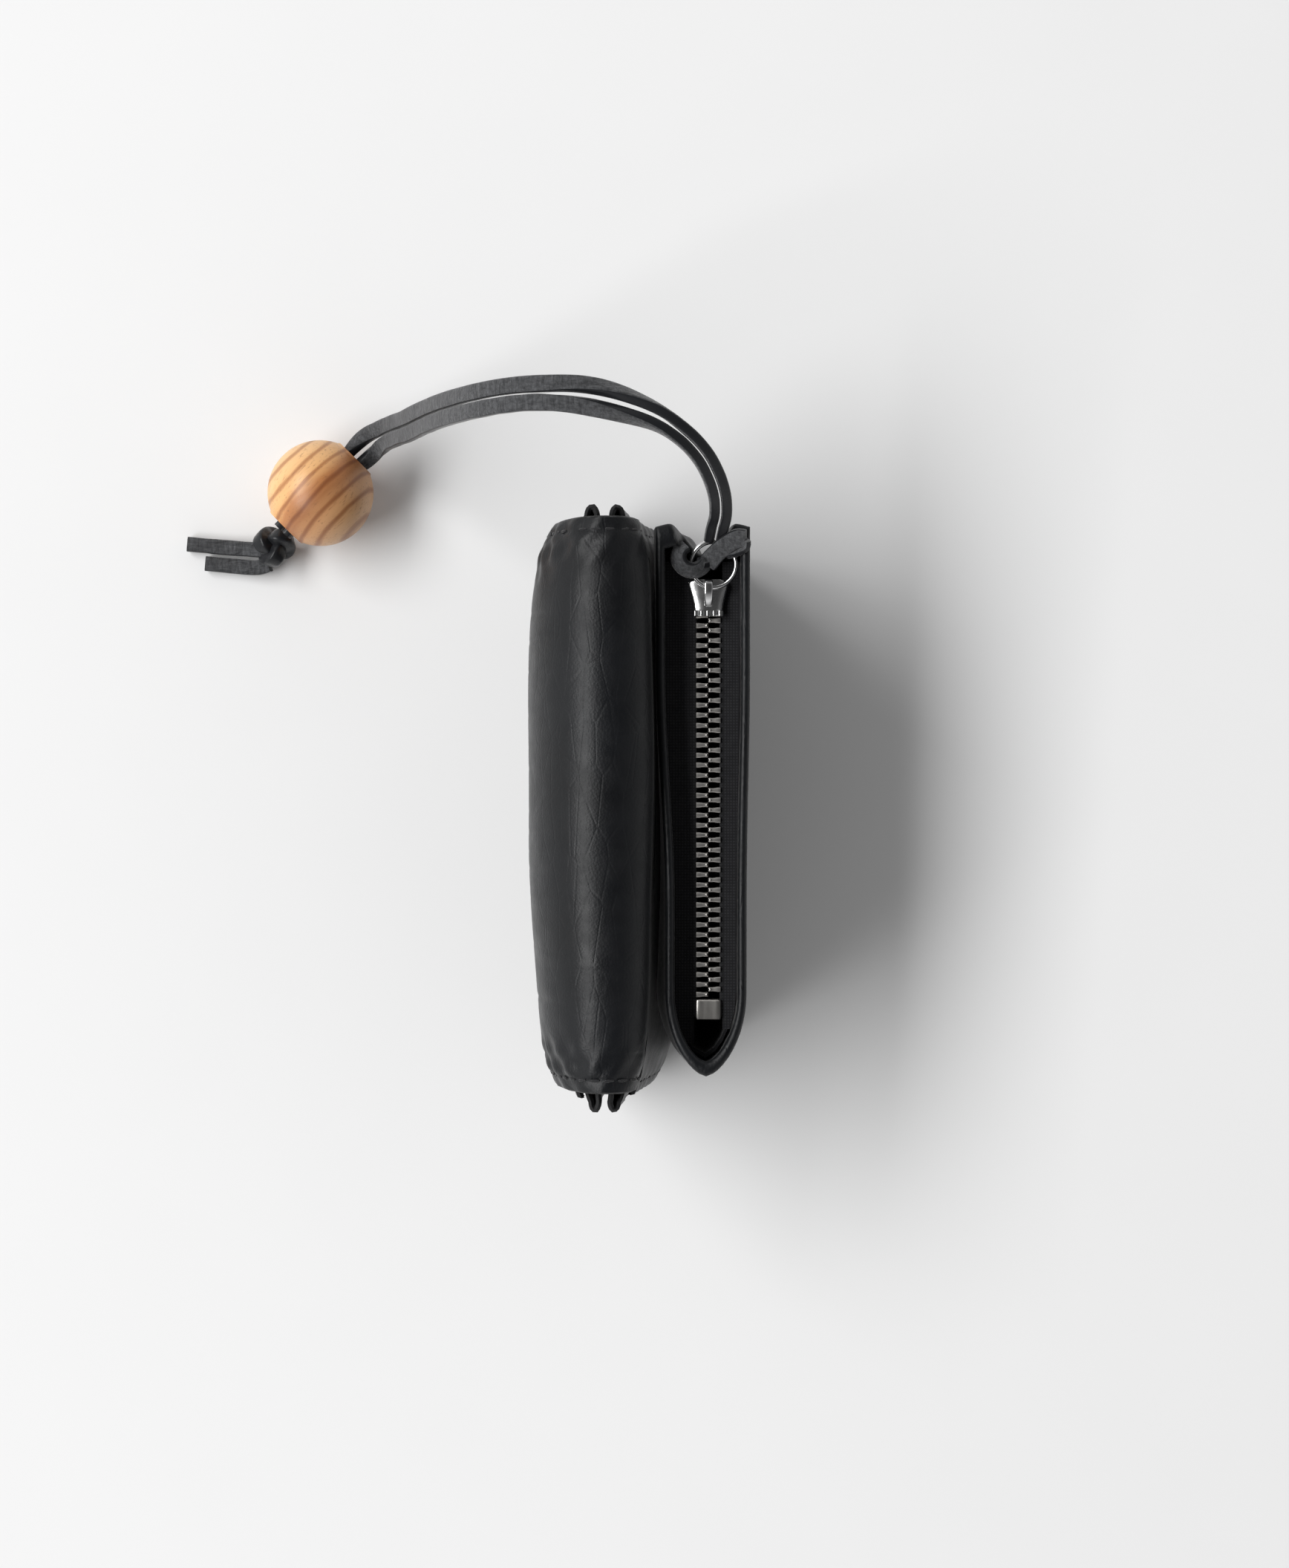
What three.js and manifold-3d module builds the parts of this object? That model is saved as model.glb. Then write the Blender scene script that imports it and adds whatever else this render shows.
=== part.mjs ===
// A leather coin purse: a flap compartment with bellows gussets, a zipped pocket behind
// it, and a doubled leather lace on the zip's pull ring that ends in a wooden bead.
// Millimetres, +Z up, +Y along the purse. The origin is on the surface that the purse
// stands on, under its middle.
import * as THREE from 'three';
import { mergeVertices } from 'three/addons/utils/BufferGeometryUtils.js';
import Module from 'manifold-3d';

const wasm = await Module();
wasm.setup();

// ---- Driving dimensions -------------------------------------------------------------

const hide = 1.3; // thickness of the outer leather
const lining = 0.6; // thickness of the inner skins
const gap = 0.3; // clearance between pieces that touch

// Main compartment, seen from its end (X across, Z up)
const height = 75; // floor to the flap's crest
const crestX = -6.5; // where the arch of the flap is highest
const bellyX = -23.1; // the flap's furthest point to the front
const bellyZ = 50; // and its height
const flapHemZ = 28; // lower edge of the flap on the front
const flapTuck = 1.9; // how far the flap draws in from belly to hem
const hingeX = 3.2; // crease where the back wall turns into the flap
const hingeZ = 67;
const mouthZ = 63; // top edge of the front wall
const frontBulgeZ = 36; // height of the front wall's widest point
const backBulgeX = 10.8; // the back wall's furthest point
const backBulgeZ = 24;
const baseFront = -12; // flat part of the base
const baseBack = 3;
const squareness = 2.6; // how boxy the base corners are
const snapRoom = 3.5; // space for the press stud between flap and front wall

// Along the purse
const halfLength = 60; // middle to the raw end edges of the walls
const flapRear = 59.5; // the flap's two raw ends
const flapFront = -57.8;
const endPinch = 0.64; // width at the ends over width in the middle
const frontTaper = 0.09; // extra narrowing towards the -Y end
const endDroop = 1.8; // how far the crest drops at the ends
const wallHug = 0.07; // how the front wall closes up to the flap at the ends

// Bellows gussets
const bellows = 1.2; // thickness of the gusset leather
const seam = 8; // overlap of gusset and wall
const tuckDepth = 12; // how far the middle fold reaches in
const gussetFoot = 7; // height of its lower edge
const rearLoop = 2.1; // how far the loops stand out past the walls
const frontLoop = 1.9;

// Zipped pocket
const lipZ = 66; // top of the pocket's lips
const notchZ = 59.3; // top of the folded end wall
const pocketBase = 1; // underside of the pocket
const pocketRear = 58.8; // tips of the two ears
const notchY = 53; // bottom of the folded end
const pocketTip = [14.1, -55.3]; // closed end, X and Y
const taperStart = -38; // where the walls start to close in
const lipLeft = 3.7; // outer face of the lip by the flap
const lipLeftFront = 5.7; // the same near the closed end
const lipRight = 23.2; // outer face of the free lip
const lipRightFront = 22.5;
const pocketFootRight = 17.5; // right edge of the pocket's foot

// Zip
const zipX = 14.7; // centre line
const zipZ = 58; // middle of the tape
const tape = 0.6;
const stopWide = 5.4; // width of the bottom stop
const pitch = 2.08;
const toothSize = [2.75, 0.8, 2.0]; // reach from the cord, along, height
const chainWidth = 4.9;
const chainFront = -39.4; // first tooth
const chainRear = 44.6; // last tooth
const [stopLong, stopTall] = [4.4, 2.4];
const sliderNose = 47.7; // wide end
const sliderTail = 40.0; // narrow end
const sliderWide = 8.8;
const sliderNarrow = 6.3;
const plate = 0.9; // thickness of the slider's plates
const post = 1.4; // width of the post between the plates
const bridgeWidth = 1.7;
const eyeY = 46.1; // centre of the slider's eye

// Pull ring and its lace
const wire = 1.0;
const ringRadius = 4.7; // to the middle of the wire
const ringSkew = 12; // degrees that the ring has slid round in the eye
const ringTilt = 6; // degrees that its far side is raised
const laceWidth = 3.4;
const laceThick = 2.2;
const beadSize = 23.6;
const beadHole = 8.4;
const bead = [-71.1, 70.2, 11.9];
const knotSize = [10.2, 9.8, 8.6];
const knot = [-82.4, 58.9, 4.8];

// Route of the doubled lace, from the hitch to the bead
const laceRoute = [
  [16.4, 57.7, 64.5], [17.0, 60.3, 67.3], [16.9, 63.2, 70.4], [16.2, 65.9, 73.0],
  [15.0, 68.6, 75.2], [13.4, 71.2, 77.2], [11.2, 73.7, 78.8], [8.6, 75.9, 80.2],
  [5.3, 78.1, 81.3], [1.6, 79.8, 82.1], [-5.8, 82.1, 82.8], [-12.0, 83.3, 82.4],
  [-18.6, 83.8, 80.8], [-23.5, 83.9, 78.6], [-28.3, 83.8, 75.0], [-33.2, 83.6, 69.4],
  [-37.9, 83.5, 61.5], [-42.4, 83.4, 52.0], [-46.6, 83.2, 41.5], [-50.6, 82.8, 31.5],
  [-54.0, 82.8, 22.6], [-57.0, 82.4, 16.2], [-59.8, 81.1, 12.8], [-62.6, 78.7, 11.9],
  [-66.0, 75.3, 11.9], [-71.1, 70.2, 11.9], [-76.2, 65.1, 11.9], [-79.6, 61.7, 11.5],
];
const tailRoutes = {
  lace_tail_long: [[-87.6, 58.3, 2.6], [-93.5, 58.8, 1.5], [-102.4, 59.6, 1.4]],
  lace_tail_short: [[-86.2, 54.2, 2.4], [-92.0, 54.6, 1.5], [-98.3, 55.2, 1.4]],
};
const flatFrom = 0.15; // share of the route where the legs start to turn from edge to flat
const flatBy = 0.36;
const edgeFrom = 0.8; // share where they turn on edge again, to enter the bead
const edgeBy = 0.9;

// Press stud
const studY = -1;
const studZ = 36;
const studRadius = 4.6;
const studPlate = 0.9;
const studNub = 2.1; // radius of the nub that clicks into the socket
const shank = 1.1; // radius of the rivet through the front wall

// ---- Materials ----------------------------------------------------------------------

const finish = (color, roughness, metalness) =>
  new THREE.MeshStandardMaterial({ color, roughness, metalness });
const finishes = {
  leather: finish('#101216', 0.42, 0),
  suede: finish('#26272a', 0.85, 0),
  fabric: finish('#17181a', 0.9, 0),
  steel: finish('#c9c8c6', 0.22, 1),
  nickel: finish('#6f6c69', 0.35, 1),
  wood: finish('#c98a4e', 0.5, 0),
};

// ---- Geometry helpers ---------------------------------------------------------------

const mix = (a, b, t) => a + (b - a) * t;
const ease = (a, b, x) => THREE.MathUtils.smoothstep(x, a, b);
const degrees = THREE.MathUtils.degToRad;
const spread = (from, to, steps) =>
  Array.from({ length: steps + 1 }, (_, i) => mix(from, to, i / steps));

/** A closed body through rings of equal length, with its first and last ring filled. */
function loft(rings) {
  const count = rings[0].length;
  const points = rings.flat();
  const faces = [];
  for (let r = 0; r + 1 < rings.length; r++) {
    for (let i = 0; i < count; i++) {
      const a = r * count + i;
      const b = r * count + ((i + 1) % count);
      faces.push(a, b, b + count, a, b + count, a + count);
    }
  }
  return { points, faces, count };
}

/** Turns points and faces into a geometry whose faces point out. */
function solid(points, faces) {
  const geometry = new THREE.BufferGeometry();
  geometry.setAttribute('position', new THREE.Float32BufferAttribute(points.flat(), 3));
  geometry.setIndex(faces);
  let volume = 0;
  const at = (i) => new THREE.Vector3(...points[i]);
  for (let f = 0; f < faces.length; f += 3) {
    volume += at(faces[f]).dot(at(faces[f + 1]).cross(at(faces[f + 2])));
  }
  if (volume < 0) geometry.setIndex(faces.reverse());
  return geometry;
}

/** A strip of sheet lofted along its length: each station has an outer and an inner path. */
function sheet(stations) {
  const rings = stations.map(({ outer, inner }) => [...outer, ...[...inner].reverse()]);
  const { points, faces, count } = loft(rings);
  const last = points.length - count;
  for (let i = 0; i + 1 < count / 2; i++) {
    const [a, b, c, d] = [i, i + 1, count - 2 - i, count - 1 - i];
    faces.push(a, c, b, a, d, c);
    faces.push(last + a, last + b, last + c, last + a, last + c, last + d);
  }
  return solid(points, faces);
}

/** A cup, open at the top: outer rings from the foot to the rim, inner ones back down. */
function cup(outer, inner, floor) {
  const { points, faces, count } = loft([...outer, ...inner.reverse()]);
  const last = points.length - count;
  for (const [a, b, c] of floor) {
    faces.push(a, c, b, last + a, last + b, last + c);
  }
  return solid(points, faces);
}

/** Moves a path in a plane sideways, to its left. */
function offset(path, distance) {
  return path.map(([u, v], i) => {
    const [u0, v0] = path[Math.max(i - 1, 0)];
    const [u1, v1] = path[Math.min(i + 1, path.length - 1)];
    const length = Math.hypot(u1 - u0, v1 - v0);
    return [u - ((v1 - v0) / length) * distance, v + ((u1 - u0) / length) * distance];
  });
}

/** Quarter of a superellipse from (x0, z0) to (x1, z1), leaving along Z or along X. */
function quarter(x0, z0, x1, z1, alongZ, power, steps) {
  return spread(0, Math.PI / 2, steps).map((t) => {
    const s = Math.sin(t) ** (2 / power);
    const c = Math.cos(t) ** (2 / power);
    return alongZ
      ? [mix(x1, x0, c), mix(z0, z1, s)]
      : [mix(x0, x1, s), mix(z1, z0, c)];
  });
}

/** A strip of lace along a route: eight-sided, turned about its length, set to one side. */
function strap(route, width, thick, steps, turnAt = () => 0, side = 0) {
  const curve = new THREE.CatmullRomCurve3(route.map((p) => new THREE.Vector3(...p)));
  const up = new THREE.Vector3(0, 0, 1);
  const rings = spread(0, 1, steps).map((t) => {
    const along = curve.getTangentAt(t);
    const level = new THREE.Vector3().crossVectors(along, up).normalize();
    const normal = new THREE.Vector3().crossVectors(level, along);
    const turn = turnAt(t);
    const reach = Math.abs(Math.cos(turn)) * width + Math.abs(Math.sin(turn)) * thick + gap;
    const centre = curve.getPointAt(t).addScaledVector(level, (side * reach) / 2);
    const across = level.clone().applyAxisAngle(along, side * turn);
    const through = normal.clone().applyAxisAngle(along, side * turn);
    return spread(0.5, 7.5, 7).map((k) => centre.clone()
      .addScaledVector(across, Math.cos((k * Math.PI) / 4) * (width / 2) * 1.08)
      .addScaledVector(through, Math.sin((k * Math.PI) / 4) * (thick / 2) * 1.08)
      .toArray());
  });
  const { points, faces, count } = loft(rings);
  const last = points.length - count;
  for (let i = 1; i + 1 < count; i++) {
    faces.push(0, i + 1, i, last, last + i, last + i + 1);
  }
  return solid(points, faces);
}

/** A three.js geometry as a manifold solid. */
function toSolid(geometry) {
  const bare = geometry.clone();
  bare.deleteAttribute('normal');
  bare.deleteAttribute('uv');
  const merged = mergeVertices(bare.index ? bare.toNonIndexed() : bare, 1e-4);
  return new wasm.Manifold(new wasm.Mesh({
    numProp: 3,
    vertProperties: new Float32Array(merged.attributes.position.array),
    triVerts: new Uint32Array(merged.index.array),
  }));
}

/** A manifold solid as a three.js geometry. */
function toGeometry(body) {
  const { vertProperties, triVerts } = body.getMesh();
  const geometry = new THREE.BufferGeometry();
  geometry.setAttribute('position', new THREE.BufferAttribute(vertProperties, 3));
  geometry.setIndex(new THREE.BufferAttribute(triVerts, 1));
  return geometry;
}

/** A plate: an outline in X and Y, raised from one height to another. */
function slab(outline, from, to) {
  const shape = new THREE.Shape(outline.map(([x, y]) => new THREE.Vector2(x, y)));
  const geometry = new THREE.ExtrudeGeometry(shape, { depth: to - from, bevelEnabled: false });
  return geometry.translate(0, 0, from);
}

function box(width, depth, tall, x, y, z) {
  return new THREE.BoxGeometry(width, depth, tall).translate(x, y, z);
}

/** A cylinder along X. */
function pin(radius, from, to, y, z, sides = 20) {
  return new THREE.CylinderGeometry(radius, radius, to - from, sides)
    .rotateZ(Math.PI / 2)
    .translate((from + to) / 2, y, z);
}

// ---- Shape of the main compartment ---------------------------------------------------

/** Width of the compartment at y over its width in the middle. */
function widthAt(y) {
  const end = Math.min(Math.abs(y) / halfLength, 1);
  const round = (1 - end ** 6) ** 0.8;
  return mix(endPinch, 1, round) - frontTaper * ease(0.08, 0.67, -y / halfLength);
}

/** Puts a section drawn for the middle of the purse where it belongs at y. */
function place(section, y, hug = 0) {
  const end = Math.min(Math.abs(y) / halfLength, 1);
  return section.map(([x, z]) => [
    crestX + (x - crestX) * (widthAt(y) + (x < crestX ? hug * end ** 4 : 0)),
    z - endDroop * end ** 6 * ease(backBulgeZ, height, z),
  ]);
}

/** The flap's outer face, from the crease over the crest to the hem on the front. */
const flapSection = [
  ...quarter(hingeX, hingeZ + gap, crestX, height, true, 2.1, 5),
  ...quarter(crestX, height, bellyX, bellyZ, false, 2.1, 7).slice(1),
  ...spread(0, 1, 3).slice(1).map((t) => [bellyX + flapTuck * t * t, mix(bellyZ, flapHemZ, t)]),
];

const underFlap = hide + gap + lining + gap;
const frontX = bellyX + underFlap + snapRoom;

/** The walls' outer face, from the front's top edge under the base to the back's. */
const wallSection = [
  ...spread(0, 1, 3).map((t) => [
    mix(frontX + 1.2, frontX, Math.sin((t * Math.PI) / 2)),
    mix(mouthZ, frontBulgeZ, t),
  ]),
  ...quarter(frontX, frontBulgeZ, baseFront, 0, true, squareness, 6).slice(1),
  ...quarter(baseBack, 0, backBulgeX, backBulgeZ, false, squareness, 6),
  ...spread(0, 1, 6).slice(1).map((t) => [
    mix(backBulgeX, hingeX, 0.5 - 0.5 * Math.cos(t * Math.PI)) - 0.9 * Math.sin(t * Math.PI),
    mix(backBulgeZ, hingeZ - gap, t),
  ]),
];

const lengthStations = (from, to) => [
  0, 0.02, 0.05, 0.1, 0.18, 0.3, 0.5, 0.7, 0.82, 0.9, 0.95, 0.98, 1,
].map((share) => mix(from, to, share));

/** A skin that follows a section, from one depth below its face to another. */
function skin(section, from, to, depth, thick, hug = 0, trim = 0) {
  const lift = (path, y) => path.map(([x, z]) => [x, y, z]);
  return sheet(lengthStations(from, to).map((y) => {
    const face = place(section, y, hug);
    const inward = (d) => {
      const path = offset(face, d);
      return path.slice(trim, path.length - trim);
    };
    return { outer: lift(inward(depth), y), inner: lift(inward(depth + thick), y) };
  }));
}

/** X of the compartment's front or back wall at a height, a depth inside its face. */
function wallX(y, z, back, depth) {
  const face = offset(place(wallSection, y, wallHug), depth);
  const half = Math.round(face.length / 2);
  const side = back ? face.slice(half) : face.slice(0, half).reverse();
  let i = 0;
  while (i + 2 < side.length && side[i + 1][1] < z) i++;
  const [[x0, z0], [x1, z1]] = [side[i], side[i + 1]];
  return mix(x0, x1, THREE.MathUtils.clamp((z - z0) / (z1 - z0), 0, 1));
}

// ---- Shape of the zipped pocket -------------------------------------------------------

/** Outline of the pocket at a share of its height, a depth inside its outer face. */
function pocketRing(share, depth) {
  const tipY = pocketTip[1] + 1.6 * depth;
  const earY = pocketRear - 2.4 * depth;
  const foldY = notchY - 1.2 * depth;
  const stations = [
    earY - 0.6, 54 - 1.5 * depth, 48, 38, 26, 12, -4, -20, taperStart,
    ...[0.3, 0.55, 0.75, 0.9].map((t) => mix(taperStart, tipY, t)),
  ];
  const z = mix(pocketBase, lipZ, share);
  const low = 1 - ease(0.72, 1, share);
  const foot = 1 - ease(0, 0.45, share);
  const closing = (y) => {
    const t = Math.max(0, (taperStart - y) / (taperStart - tipY));
    return (1 - t * t) ** 0.65;
  };
  const left = stations.map((y) => {
    const held = Math.max(y, taperStart);
    const lip = mix(lipLeftFront, lipLeft, ease(-20, 30, held));
    const wall = wallX(Math.min(held, 50), Math.max(z, backBulgeZ), true, 0) + gap + 0.25;
    return [mix(pocketTip[0], mix(lip, wall, low) + depth, closing(y)), y];
  });
  const right = stations.map((y) => {
    const lip = mix(lipRightFront, lipRight, ease(-20, 30, Math.max(y, taperStart)));
    const wall = mix(lip - 0.6, pocketFootRight, foot);
    return [mix(pocketTip[0], mix(lip, wall, low) - depth, closing(y)), y];
  }).reverse();
  const [leftX, rightX] = [left[0][0], right.at(-1)[0]];
  const middle = (leftX + rightX) / 2;
  const outline = [
    ...left, [pocketTip[0], tipY], ...right,
    [mix(rightX, middle, 0.33), earY], [mix(rightX, middle, 0.5), mix(earY, foldY, 0.2)],
    [middle, foldY],
    [mix(leftX, middle, 0.55), mix(earY, foldY, 0.25)], [mix(leftX, middle, 0.33), earY],
  ];
  const dips = { 4: 1, 3: 1, 2: 1 }; // of the folded end, counted from the last point
  return outline.map(([x, y], i) => {
    const rim = mix(lipZ, notchZ, dips[outline.length - i] || 0);
    return [x, y, mix(pocketBase, rim, share)];
  });
}

/** Triangles that fill a pocket ring: a ladder between its sides and a fan at the fold. */
function pocketFloor(count) {
  const sides = (count - 6) / 2;
  const across = (i) => 2 * sides - i;
  const faces = [[sides - 1, sides, sides + 1]];
  for (let i = 2; i + 1 < sides; i++) {
    faces.push([i, i + 1, across(i + 1)], [i, across(i + 1), across(i)]);
  }
  const fold = count - 3;
  const around = [fold + 1, fold + 2, 0, 1, 2, across(2), across(1), across(0), fold - 2, fold - 1];
  around.slice(1).forEach((to, i) => faces.push([fold, around[i], to]));
  return faces;
}

/** A cup inside the pocket's outer face: from a depth, of a thickness, up to a share. */
function pocketSkin(depth, thick, floor, top) {
  const shares = [0, 0.15, 0.35, 0.55, 0.72, 0.86, 1].map((t) => mix(floor, top, t));
  const inside = [...shares];
  inside[0] = floor + thick / (lipZ - pocketBase);
  const outer = shares.map((share) => pocketRing(share, depth));
  const inner = inside.map((share) => pocketRing(share, depth + thick));
  return cup(outer, inner, pocketFloor(outer[0].length));
}

// ---- Pieces -----------------------------------------------------------------------

const purse = new THREE.Group();

function add(name, geometry, material) {
  const mesh = new THREE.Mesh(geometry, finishes[material]);
  mesh.name = name;
  purse.add(mesh);
  return mesh;
}

const wallDepth = hide + gap; // of the lining below the leather's face
const studX = wallX(studY, studZ, false, 0);
const throughWall = toSolid(pin(shank + gap, studX - 2, studX + 5, studY, studZ, 12));

const bodyPanel = toSolid(skin(wallSection, -halfLength, halfLength, 0, hide, wallHug));
add('body_panel', toGeometry(bodyPanel.subtract(throughWall)), 'leather');
const bodyLining = toSolid(skin(wallSection, -halfLength + seam + 2, halfLength - seam - 2,
  wallDepth, lining, wallHug, 1));
add('body_lining', toGeometry(bodyLining.subtract(throughWall)), 'fabric');
add('flap', skin(flapSection, flapFront, flapRear, 0, hide), 'leather');
add('flap_lining', skin(flapSection, flapFront + 1.5, flapRear - 1.5, wallDepth, lining, 0, 1),
  'fabric');

/** Height under the flap's lining above x, at the end of the purse. */
function roofZ(x, y) {
  const roof = offset(place(flapSection, y), underFlap + gap);
  let best = 0;
  for (let i = 0; i + 1 < roof.length; i++) {
    const [[xa, za], [xb, zb]] = [roof[i], roof[i + 1]];
    if ((xa - x) * (xb - x) <= 0 && xa !== xb) best = Math.max(best, mix(za, zb, (x - xa) / (xb - xa)));
  }
  return best || bellyZ;
}

/** The gusset at one end: walls' seams, two loops and the fold between them. */
function gusset(sign, loop) {
  const edge = halfLength;
  const path = [
    [0, edge - seam], [0, edge - 3], [0, edge + gap], [0.07, edge + loop * 0.75],
    [0.17, edge + loop], [0.26, edge + loop * 0.6], [0.31, edge - 1.5], [0.36, edge - 5],
    [0.43, edge - tuckDepth + 1.5], [0.5, edge - tuckDepth],
    [0.57, edge - tuckDepth + 1.5], [0.64, edge - 5], [0.69, edge - 1.5],
    [0.74, edge + loop * 0.6], [0.83, edge + loop], [0.93, edge + loop * 0.75],
    [1, edge + gap], [1, edge - 3], [1, edge - seam],
  ];
  const shares = [0, 0.15, 0.4, 0.7, 1];
  const centre = hide + gap + bellows; // the walls slant where they close in
  return sheet(shares.map((share) => {
    const at = path.map(([u, y]) => {
      const yy = Math.min(y, edge) * sign;
      const z = mix(gussetFoot, mouthZ, share);
      return [mix(wallX(yy, z, false, centre), wallX(yy, z, true, centre), u), y * sign, u];
    });
    const flat = at.map(([x, y]) => [x, y]);
    const lift = (line) => line.map(([x, y], i) => {
      const roof = Math.min(roofZ(at[i][0], Math.min(Math.abs(y), edge - 2) * sign), height);
      return [x, y, mix(gussetFoot, Math.max(roof, mouthZ - 6), share)];
    });
    return { outer: lift(offset(flat, bellows / 2)), inner: lift(offset(flat, -bellows / 2)) };
  }));
}
add('gusset_rear', gusset(1, rearLoop), 'leather');
add('gusset_front', gusset(-1, frontLoop), 'leather');

// Pocket and its lining, which stops below the zip tapes
add('pocket_shell', pocketSkin(0, hide, 0, 1), 'leather');
const underTape = (zipZ - tape / 2 - 1.6 - pocketBase) / (lipZ - pocketBase);
const liningFloor = (hide + gap) / (lipZ - pocketBase);
add('pocket_lining', pocketSkin(hide + 2 * gap, lining, liningFloor, underTape), 'fabric');

// Zip: tapes between the walls, a comb of teeth along each, stops at the ends
const tapeShare = (zipZ - pocketBase) / (lipZ - pocketBase);
const tapeEdge = stopWide / 2 + gap; // half the slot between the tapes
const pocketWall = pocketRing(tapeShare, hide + gap + 0.1);
const sidePoints = (pocketWall.length - 6) / 2;
for (const [side, name] of [[-1, 'left'], [1, 'right']]) {
  const first = side < 0 ? 1 : sidePoints + 1;
  const wall = pocketWall.slice(first, first + sidePoints - 1)
    .filter(([x]) => (x - zipX) * side > tapeEdge + tape)
    .map(([x, y]) => [x, y]);
  const edgeX = zipX + side * tapeEdge;
  const outline = [...wall, [edgeX, wall.at(-1)[1]], [edgeX, wall[0][1]]];
  add(`zip_tape_${name}`, slab(outline, zipZ - tape / 2, zipZ + tape / 2), 'fabric');
}

/** One side's teeth as a comb on their cord. */
function comb(side, shift) {
  const [reach, along, tall] = toothSize;
  const back = chainWidth / 2;
  const root = back - 1;
  const edge = [];
  for (let y = chainFront + shift; y + along < chainRear; y += pitch) {
    edge.push([root, y], [back - reach, y], [back - reach, y + along], [root, y + along]);
  }
  const outline = [[back, chainFront], [back, chainRear], [root, chainRear],
    ...edge.reverse(), [root, chainFront]];
  return slab(outline.map(([x, y]) => [zipX + side * x, y]), zipZ - tall / 2, zipZ + tall / 2);
}
add('zip_teeth_left', comb(-1, 0.2), 'nickel');
add('zip_teeth_right', comb(1, 0.2 + pitch / 2), 'nickel');

add('zip_bottom_stop', box(stopWide, stopLong, stopTall, zipX, chainFront - gap - stopLong / 2,
  zipZ), 'nickel');
const topStop = [1.3, 2.2, toothSize[2]];
for (const [side, name] of [[-1, 'left'], [1, 'right']]) {
  const x = zipX + side * (chainWidth / 2 - topStop[0] / 2);
  add(`zip_top_stop_${name}`, box(...topStop, x, chainRear + gap + topStop[1] / 2, zipZ), 'nickel');
}

// Slider: two plates on a post, flanges that hold the chain, a bridge for the ring
const sliderLong = sliderNose - sliderTail;
const plateOutline = (inset) => {
  const [wide, narrow] = [sliderWide / 2 - inset, sliderNarrow / 2 - inset];
  const half = [
    [narrow, sliderTail], [narrow, sliderTail + 0.25 * sliderLong],
    [mix(narrow, wide, 0.25), sliderTail + 0.5 * sliderLong],
    [wide, sliderTail + 0.82 * sliderLong], [wide - 0.2, sliderNose - 0.5],
    [wide - 1.4, sliderNose],
  ];
  return [
    ...half.map(([x, y]) => [zipX + x, y]),
    ...half.reverse().map(([x, y]) => [zipX - x, y]),
  ];
};
const chainHalf = toothSize[2] / 2 + gap;
const plateTop = zipZ + chainHalf + plate;
const flange = 0.45;
const outside = toSolid(slab(plateOutline(0), zipZ - chainHalf - plate, plateTop));
const throat = toSolid(slab(plateOutline(flange), zipZ - chainHalf, zipZ + chainHalf))
  .add(toSolid(box(sliderWide - 2.6, 2, 2 * chainHalf, zipX, sliderNose, zipZ)))
  .add(toSolid(box(sliderNarrow - 2 * flange, 2, 2 * chainHalf, zipX, sliderTail, zipZ)));
const tapeSlot = toSolid(box(sliderWide + 2, sliderLong + 2, tape + 2 * gap, zipX,
  (sliderNose + sliderTail) / 2, zipZ));
const postBody = toSolid(box(post, 1.6, 2 * chainHalf + plate, zipX, sliderNose - 1.3, zipZ));
const eyeZ = plateTop + gap + wire / 2;
const eyeLong = wire / Math.cos(degrees(ringSkew)) + bridgeWidth * Math.tan(degrees(ringSkew))
  + 2 * gap;
const bridgeTop = eyeZ + wire / 2 + gap + 0.8;
const bridge = toSolid(slab([
  [eyeY - eyeLong / 2 - 1.9, plateTop - 0.2], [eyeY - eyeLong / 2 - 0.9, bridgeTop - 0.4],
  [eyeY - eyeLong / 2, bridgeTop], [eyeY + eyeLong / 2 - 0.2, bridgeTop],
  [eyeY + eyeLong / 2 + 0.7, bridgeTop - 0.5], [eyeY + eyeLong / 2 + 0.7, plateTop - 0.2],
  [eyeY + eyeLong / 2, plateTop - 0.2], [eyeY + eyeLong / 2, eyeZ + wire / 2 + gap],
  [eyeY - eyeLong / 2, eyeZ + wire / 2 + gap], [eyeY - eyeLong / 2, plateTop - 0.2],
], -bridgeWidth / 2, bridgeWidth / 2)
  .applyMatrix4(new THREE.Matrix4().set(0, 0, 1, zipX, 1, 0, 0, 0, 0, 1, 0, 0, 0, 0, 0, 1)));
add('slider_body', toGeometry(outside.subtract(throat).subtract(tapeSlot).add(postBody)
  .add(bridge)), 'steel');

// Pull ring, threaded through the eye, and the lark's head that holds the lace to it
const skew = degrees(ringSkew);
const tilt = degrees(ringTilt);
const ringCentre = [
  zipX + ringRadius * Math.sin(skew),
  eyeY + ringRadius * Math.cos(skew) * Math.cos(tilt),
  eyeZ + ringRadius * Math.cos(skew) * Math.sin(tilt),
];
const torus = (radius, around, sides) =>
  new THREE.TorusGeometry(ringRadius, radius, sides, around)
    .rotateX(tilt).translate(...ringCentre);
add('pull_ring', torus(wire / 2, 32, 8), 'steel');

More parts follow.
